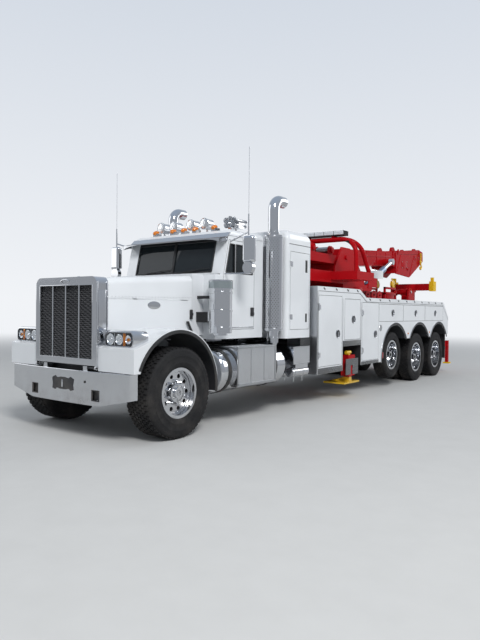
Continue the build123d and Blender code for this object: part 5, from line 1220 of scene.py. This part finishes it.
def deck_machinery():
    """The deck's middle locker with its hose reels, and the rack behind them."""
    base, hoses = Shape(), Shape()
    base.slab(-290, 290, 7260, 9150, 1293, 1830, 6)
    hose_reels(base, hoses)
    for y in (8420, 9100):
        for sign in (1, -1):
            base.slab(*to_side(sign, 230, 280), y, y + 50, LOCKER_TOP, 2200, 4)
    for z in (2150, 2010):
        for sign in (1, -1):
            base.slab(*to_side(sign, 230, 280), 8420, 9150, z, z + 50, 4)
    base.slab(-270, 270, 8540, 9030, LOCKER_TOP, 2080, 8)
    base.made("deck_machinery", red, "chassis", "red_paint")
    hoses.made("deck_hoses", hose_red, "chassis", "red_paint", 60)


def snatch_blocks():
    """Two blocks on the rack, each two cheeks and a groove with its hook on top."""
    blocks = Shape()
    for x in (-205, 205):
        sheave = [(x - 34, 0.01), (x - 34, 78), (x - 26, 96), (x - 20, 96), (x - 14, 70), (x + 14, 70),
                  (x + 20, 96), (x + 26, 96), (x + 34, 78), (x + 34, 0.01)]
        blocks.turned(sheave, (0, 9060, 2290), "X", 30)
        blocks.slab(x - 14, x + 14, 9035, 9085, 2196, 2250, 4)
        blocks.tube([(x, 9060, 2380), (x, 9060, 2412), (x, 9035, 2440), (x, 9005, 2424), (x, 9005, 2396)],
                    13, 10)
    blocks.made("snatch_blocks", yellow, "chassis")


def mast():
    """The mast's cheeks, its roller with three sheaves, and the pins' bright ends."""
    head = Shape()
    cheek = [(10030, 1780), (10090, 2240), (10280, 2240), (10400, 1920), (10400, 1780)]
    for sign in (1, -1):
        head.prism(cheek, "X", *to_side(sign, 210, 260))
    head.turned([(-252, 0.01), (-252, 70), (252, 70), (252, 0.01)], MAST_SHEAVES, "X", 32)
    for x in (-150, 0, 150):
        head.turned([(x - 12, 60), (x - 12, 96), (x + 12, 96), (x + 12, 60)], MAST_SHEAVES, "X", 32)
    head.made("mast_head", red, "chassis", "red_paint")
    pins = Shape()
    for s in (1, -1):
        pins.turned([(s * 258, 34), (s * 276, 34), (s * 280, 26), (s * 280, 0.01)], MAST_SHEAVES, "X", 20)
    pins.made("mast_pins", chrome, "chassis", "chrome")


def jack_details():
    """The tread plate over each jack, and the yellow motor on its top."""
    for side, sign in SIDES:
        body = "outrigger_beam_" + side
        plate = Shape()
        for y0, y1, z0 in ((4290, 4485, 425), (4565, 4790, 425), (4485, 4565, 595)):
            plate.slab(1274, 1284, y0, y1, z0, 715)
        plate.sided(sign).made("jack_plate_" + side, tread_plate, body, "bright_metal")
        motor = Shape()
        motor.turned([(4440, 0.01), (4440, 30), (4446, 36), (4600, 36), (4606, 30), (4606, 0.01)],
                     (1205, 0, 822), "Y", 24)
        motor.slab(1175, 1235, 4500, 4560, 776, 800, 4)
        motor.sided(sign).made("jack_motor_" + side, yellow, body)


def winch_details():
    """Drums wound with wire rope between their flanges, gear cases, motors and side plates."""
    drums, rope = Shape(), Shape()
    for y in DRUMS:
        at = (0, y, DRUM_Z)
        for x in (-290, 0, 290):
            flange = [(x - 9, 50), (x - 9, 88), (x - 6, 91), (x + 6, 91), (x + 9, 88), (x + 9, 50)]
            drums.turned(flange, at, "X", 36)
        for s in (1, -1):
            drums.slab(*to_side(s, 296, 322), y - 112, y + 112, 2734, 2850, 8)
            drums.turned([(s * 296, 86), (s * 326, 86), (s * 330, 66), (s * 362, 62), (s * 366, 50),
                          (s * 366, 0.01)], at, "X", 30)
        for x0, x1 in ((-281, -9), (9, 281)):
            rope.turned(wound(x0, x1, 16, 40, 64, 8, 4), at, "X", 28)
    piece = drums.made("winch_drums", red, "turret", "red_paint")
    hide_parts("winches")
    rope.made("winch_rope", steel, "turret", "steel", 60)
    panels = Shape().slab(612, 618, 6800, 7480, 2330, 2515, 2)
    for y in (6840, 7130):
        panels.turned([(610, 20), (622, 18), (622, 0.01)], (0, y, 2422), "X", 16)
    panels.mirrored().made("turret_side_plates", reflector, "turret", "chrome")


def boom_details():
    """Stiffening ribs, bolts and sheave pins on the boom, drawn level from its pivot."""
    ribs = Shape()
    ribs.slab(289, 300, 330, 2820, 46, 74, 3).slab(289, 297, 330, 2820, -150, -136, 2)
    for u in (700, 1250, 1800, 2350):
        ribs.slab(289, 299, u, u + 16, -140, 160, 2)
    ribs.mirrored().on_boom().made("boom_ribs", red, "boom", "red_paint")
    head = Shape()
    for u0, v0, u1, v1 in ((2960, -330, 3240, 110), (3000, 120, 4500, 150), (3850, -420, 4200, 90),
                           (4550, -140, 4600, 160)):
        head.tube([(331, u0, v0), (331, u1, v1)], 11, 8)
    for u, v, r in ((3062, 190, 62), (4612, 180, 62), (3700, -260, 48)):
        pin = [(328, r), (340, r), (344, r - 8), (344, r * 0.5), (352, r * 0.45), (352, 0.01)]
        head.turned(pin, (0, u, v), "X", 24)
    head.slab(328, 338, 3300, 3660, -230, -60, 3).slab(328, 336, 4250, 4500, -20, 60, 3)
    head.mirrored().on_boom().made("boom_head_fittings", red, "boom_extension", "red_paint")
    corners = ((3310, -72), (3650, -72), (3310, -218), (3650, -218), (4262, 48), (4488, 48))
    bolts = [((sign * 339, *boom_place(u, v)), (sign, 0, 0), (0, 0, 1))
             for sign in (1, -1) for u, v in corners]
    repeated("boom_head_bolts", "stud", bolts, (24, 24, 12), steel, "boom_extension", 6)


def stowed_hooks():
    """The two hooks that hang at the boom's head."""
    hooks = Shape()
    for sign in (1, -1):
        x = sign * 372
        near, far = to_side(sign, 344, 396)
        hooks.turned([(near, 0.01), (near, 20), (far, 20), (far, 0.01)], (0, HOOK_Y, 3190), "X", 16)
        hooks.tube([(x, HOOK_Y, 3190), (x, 10634, 3060), (x, 10628, 2960)], 17, 10)
        swivel = [(2944, 0.01), (2944, 30), (2956, 34), (2984, 34), (2996, 28), (2996, 0.01)]
        hooks.turned(swivel, (x, 10628, 0), "Z", 16)
        hooks.tube([(x, 10628, 2950), (x, HOOK_Y, 2900), (x, 10676, 2862), (x, 10690, 2812),
                    (x, 10660, 2770), (x, 10612, 2764), (x, 10580, 2798), (x, 10578, 2832)], 21, 10)
    hooks.made("stowed_hooks", yellow, "boom_extension")


def light_bar():
    """Clear segments in a row on the hoop, with dark joints between them."""
    clear, joints = Shape(), Shape()
    outline = round_box(4974, 5186, 3058, 3146, 22)
    for x0 in (LIGHTS_FROM + LIGHT_PITCH * i for i in range(LIGHTS)):
        clear.skin([[(x, y, z) for y, z in outline] for x in (x0 + 7, x0 + 208)])
        clear.slab(x0 + 30, x0 + 185, 4970, 5190, 3078, 3092, 2)
        clear.slab(x0 + 30, x0 + 185, 4970, 5190, 3108, 3122, 2)
    for x in (LIGHTS_FROM + LIGHT_PITCH * i for i in range(1, LIGHTS)):
        joints.slab(x - 6, x + 6, 4980, 5180, 3052, 3141, 2)
    clear.made("light_bar_lenses", bar_lens, "turret", "glass")
    joints.made("light_bar_joints", rubber, "turret", "frame_black")


# Studio: a pale backdrop behind the truck in the photograph's view, in a slightly darker room
BACKDROP_WAY = (-sin(YAW), cos(YAW))
ROOM, HAZE, UPPER_AIR = (0.40, 0.42, 0.45), (0.88, 0.90, 0.93), (0.42, 0.50, 0.62)
FLOOR_HALF = 1500
SEEN_BY = ("Is Camera Ray", "Is Glossy Ray", "Is Transmission Ray")


def studio_floor():
    """A plain floor that passes into the backdrop far off; it keeps the truck's shadow near by."""
    h = FLOOR_HALF
    mesh = bpy.data.meshes.new("studio_floor")
    mesh.from_pydata([(-h, -h, 0), (h, -h, 0), (h, h, 0), (-h, h, 0)], [], [(0, 1, 2, 3)])
    floor = bpy.data.objects.new("studio_floor", mesh)
    floor.location.z = -0.001
    bpy.context.collection.objects.link(floor)
    ground = Finish("studio_floor", (0.56, 0.56, 0.55), Roughness=0.9)
    grain = ground.noise(3.0, 5.0)
    ground.feed(Base_Color=ground.tint(grain, (0.54, 0.54, 0.53), (0.60, 0.60, 0.59)))
    x, y = ground.along("X"), ground.along("Y") + FRONT_AXLE
    distance = (x * x + y * y).powered(0.5)
    camera, glossy, through = (ground.node("ShaderNodeLightPath", output=ray) for ray in SEEN_BY)
    far = ground.span(distance, 8.5, 34.0) * (camera + glossy + through)
    facing = (x * BACKDROP_WAY[0] + y * BACKDROP_WAY[1]) / distance
    glow = ground.node("ShaderNodeEmission", None, {
        "Color": ground.tint(ground.span(facing, 0.2, 0.8), ROOM, HAZE), "Strength": 1.0})
    lit = Value(ground, ground.shader.outputs[0])
    blend = ground.node("ShaderNodeMixShader", None, {0: far, 1: lit, 2: glow})
    leave = next(n for n in ground.tree.nodes if n.type == "OUTPUT_MATERIAL")
    ground.join(blend, leave.inputs[0])
    mesh.materials.append(ground.material)


def studio_air():
    """The world: an even light on the truck, and the backdrop for what looks straight at it."""
    world = bpy.data.worlds.new("studio_world")
    world.use_nodes = True
    bpy.context.scene.world = world
    air = Nodes(world.node_tree)
    air.tree.nodes.clear()
    where = air.node("ShaderNodeTexCoord", output="Generated")
    height = air.node("ShaderNodeSeparateXYZ", None, {0: where}, "Z")
    side = air.node("ShaderNodeVectorMath", {"operation": "DOT_PRODUCT"},
                    {0: where, 1: (*BACKDROP_WAY, 0)}, "Value")
    walls = air.tint(air.span(side, 0.2, 0.8, course="LINEAR"), ROOM, HAZE)
    shade = air.tint(air.span(height, 0.02, 0.95, course="LINEAR"), walls, UPPER_AIR)
    camera, glossy, through = (air.node("ShaderNodeLightPath", output=ray) for ray in SEEN_BY)
    lit = air.node("ShaderNodeBackground", None, {"Color": (0.84, 0.91, 1.0, 1), "Strength": 0.45})
    back = air.node("ShaderNodeBackground", None, {"Color": shade})
    blend = air.node("ShaderNodeMixShader", None, {
        0: camera.or_larger(glossy).or_larger(through), 1: lit, 2: back})
    air.node("ShaderNodeOutputWorld", None, {0: blend})


def studio_lamps():
    """Three soft lamps: from ahead, from the other side and from behind."""
    for name, place, target, size, power in (
            ("key_light", (13, -13, 14), (0, -1, 1.2), 5, 2700),
            ("fill_light", (-12, -9, 7), (0, -2, 1), 9, 320),
            ("rear_light", (9, 13, 9), (0, 2, 1), 8, 600)):
        lamp = bpy.data.lights.new(name, "AREA")
        lamp.size, lamp.energy = size, power
        holder = bpy.data.objects.new(name, lamp)
        holder.location = place
        holder.rotation_euler = (Vector(target) - Vector(place)).to_track_quat("-Z", "Y").to_euler()
        bpy.context.collection.objects.link(holder)


for step in (photographers_camera, dress_the_frame, wheels, grille, headlamps, hood_edges, hood_fittings,
             bumper_details, windscreen_details, roof_lamps, cab_edges, door_details, cleaner_details,
             shield_details, tank_details, step_details, latches, arch_lips, body_rails, body_trim,
             body_lamps, deck_machinery, snatch_blocks, mast, jack_details, winch_details, boom_details,
             stowed_hooks, light_bar, studio_floor, studio_air, studio_lamps):
    step()
bpy.context.scene.view_settings.view_transform = "Standard"
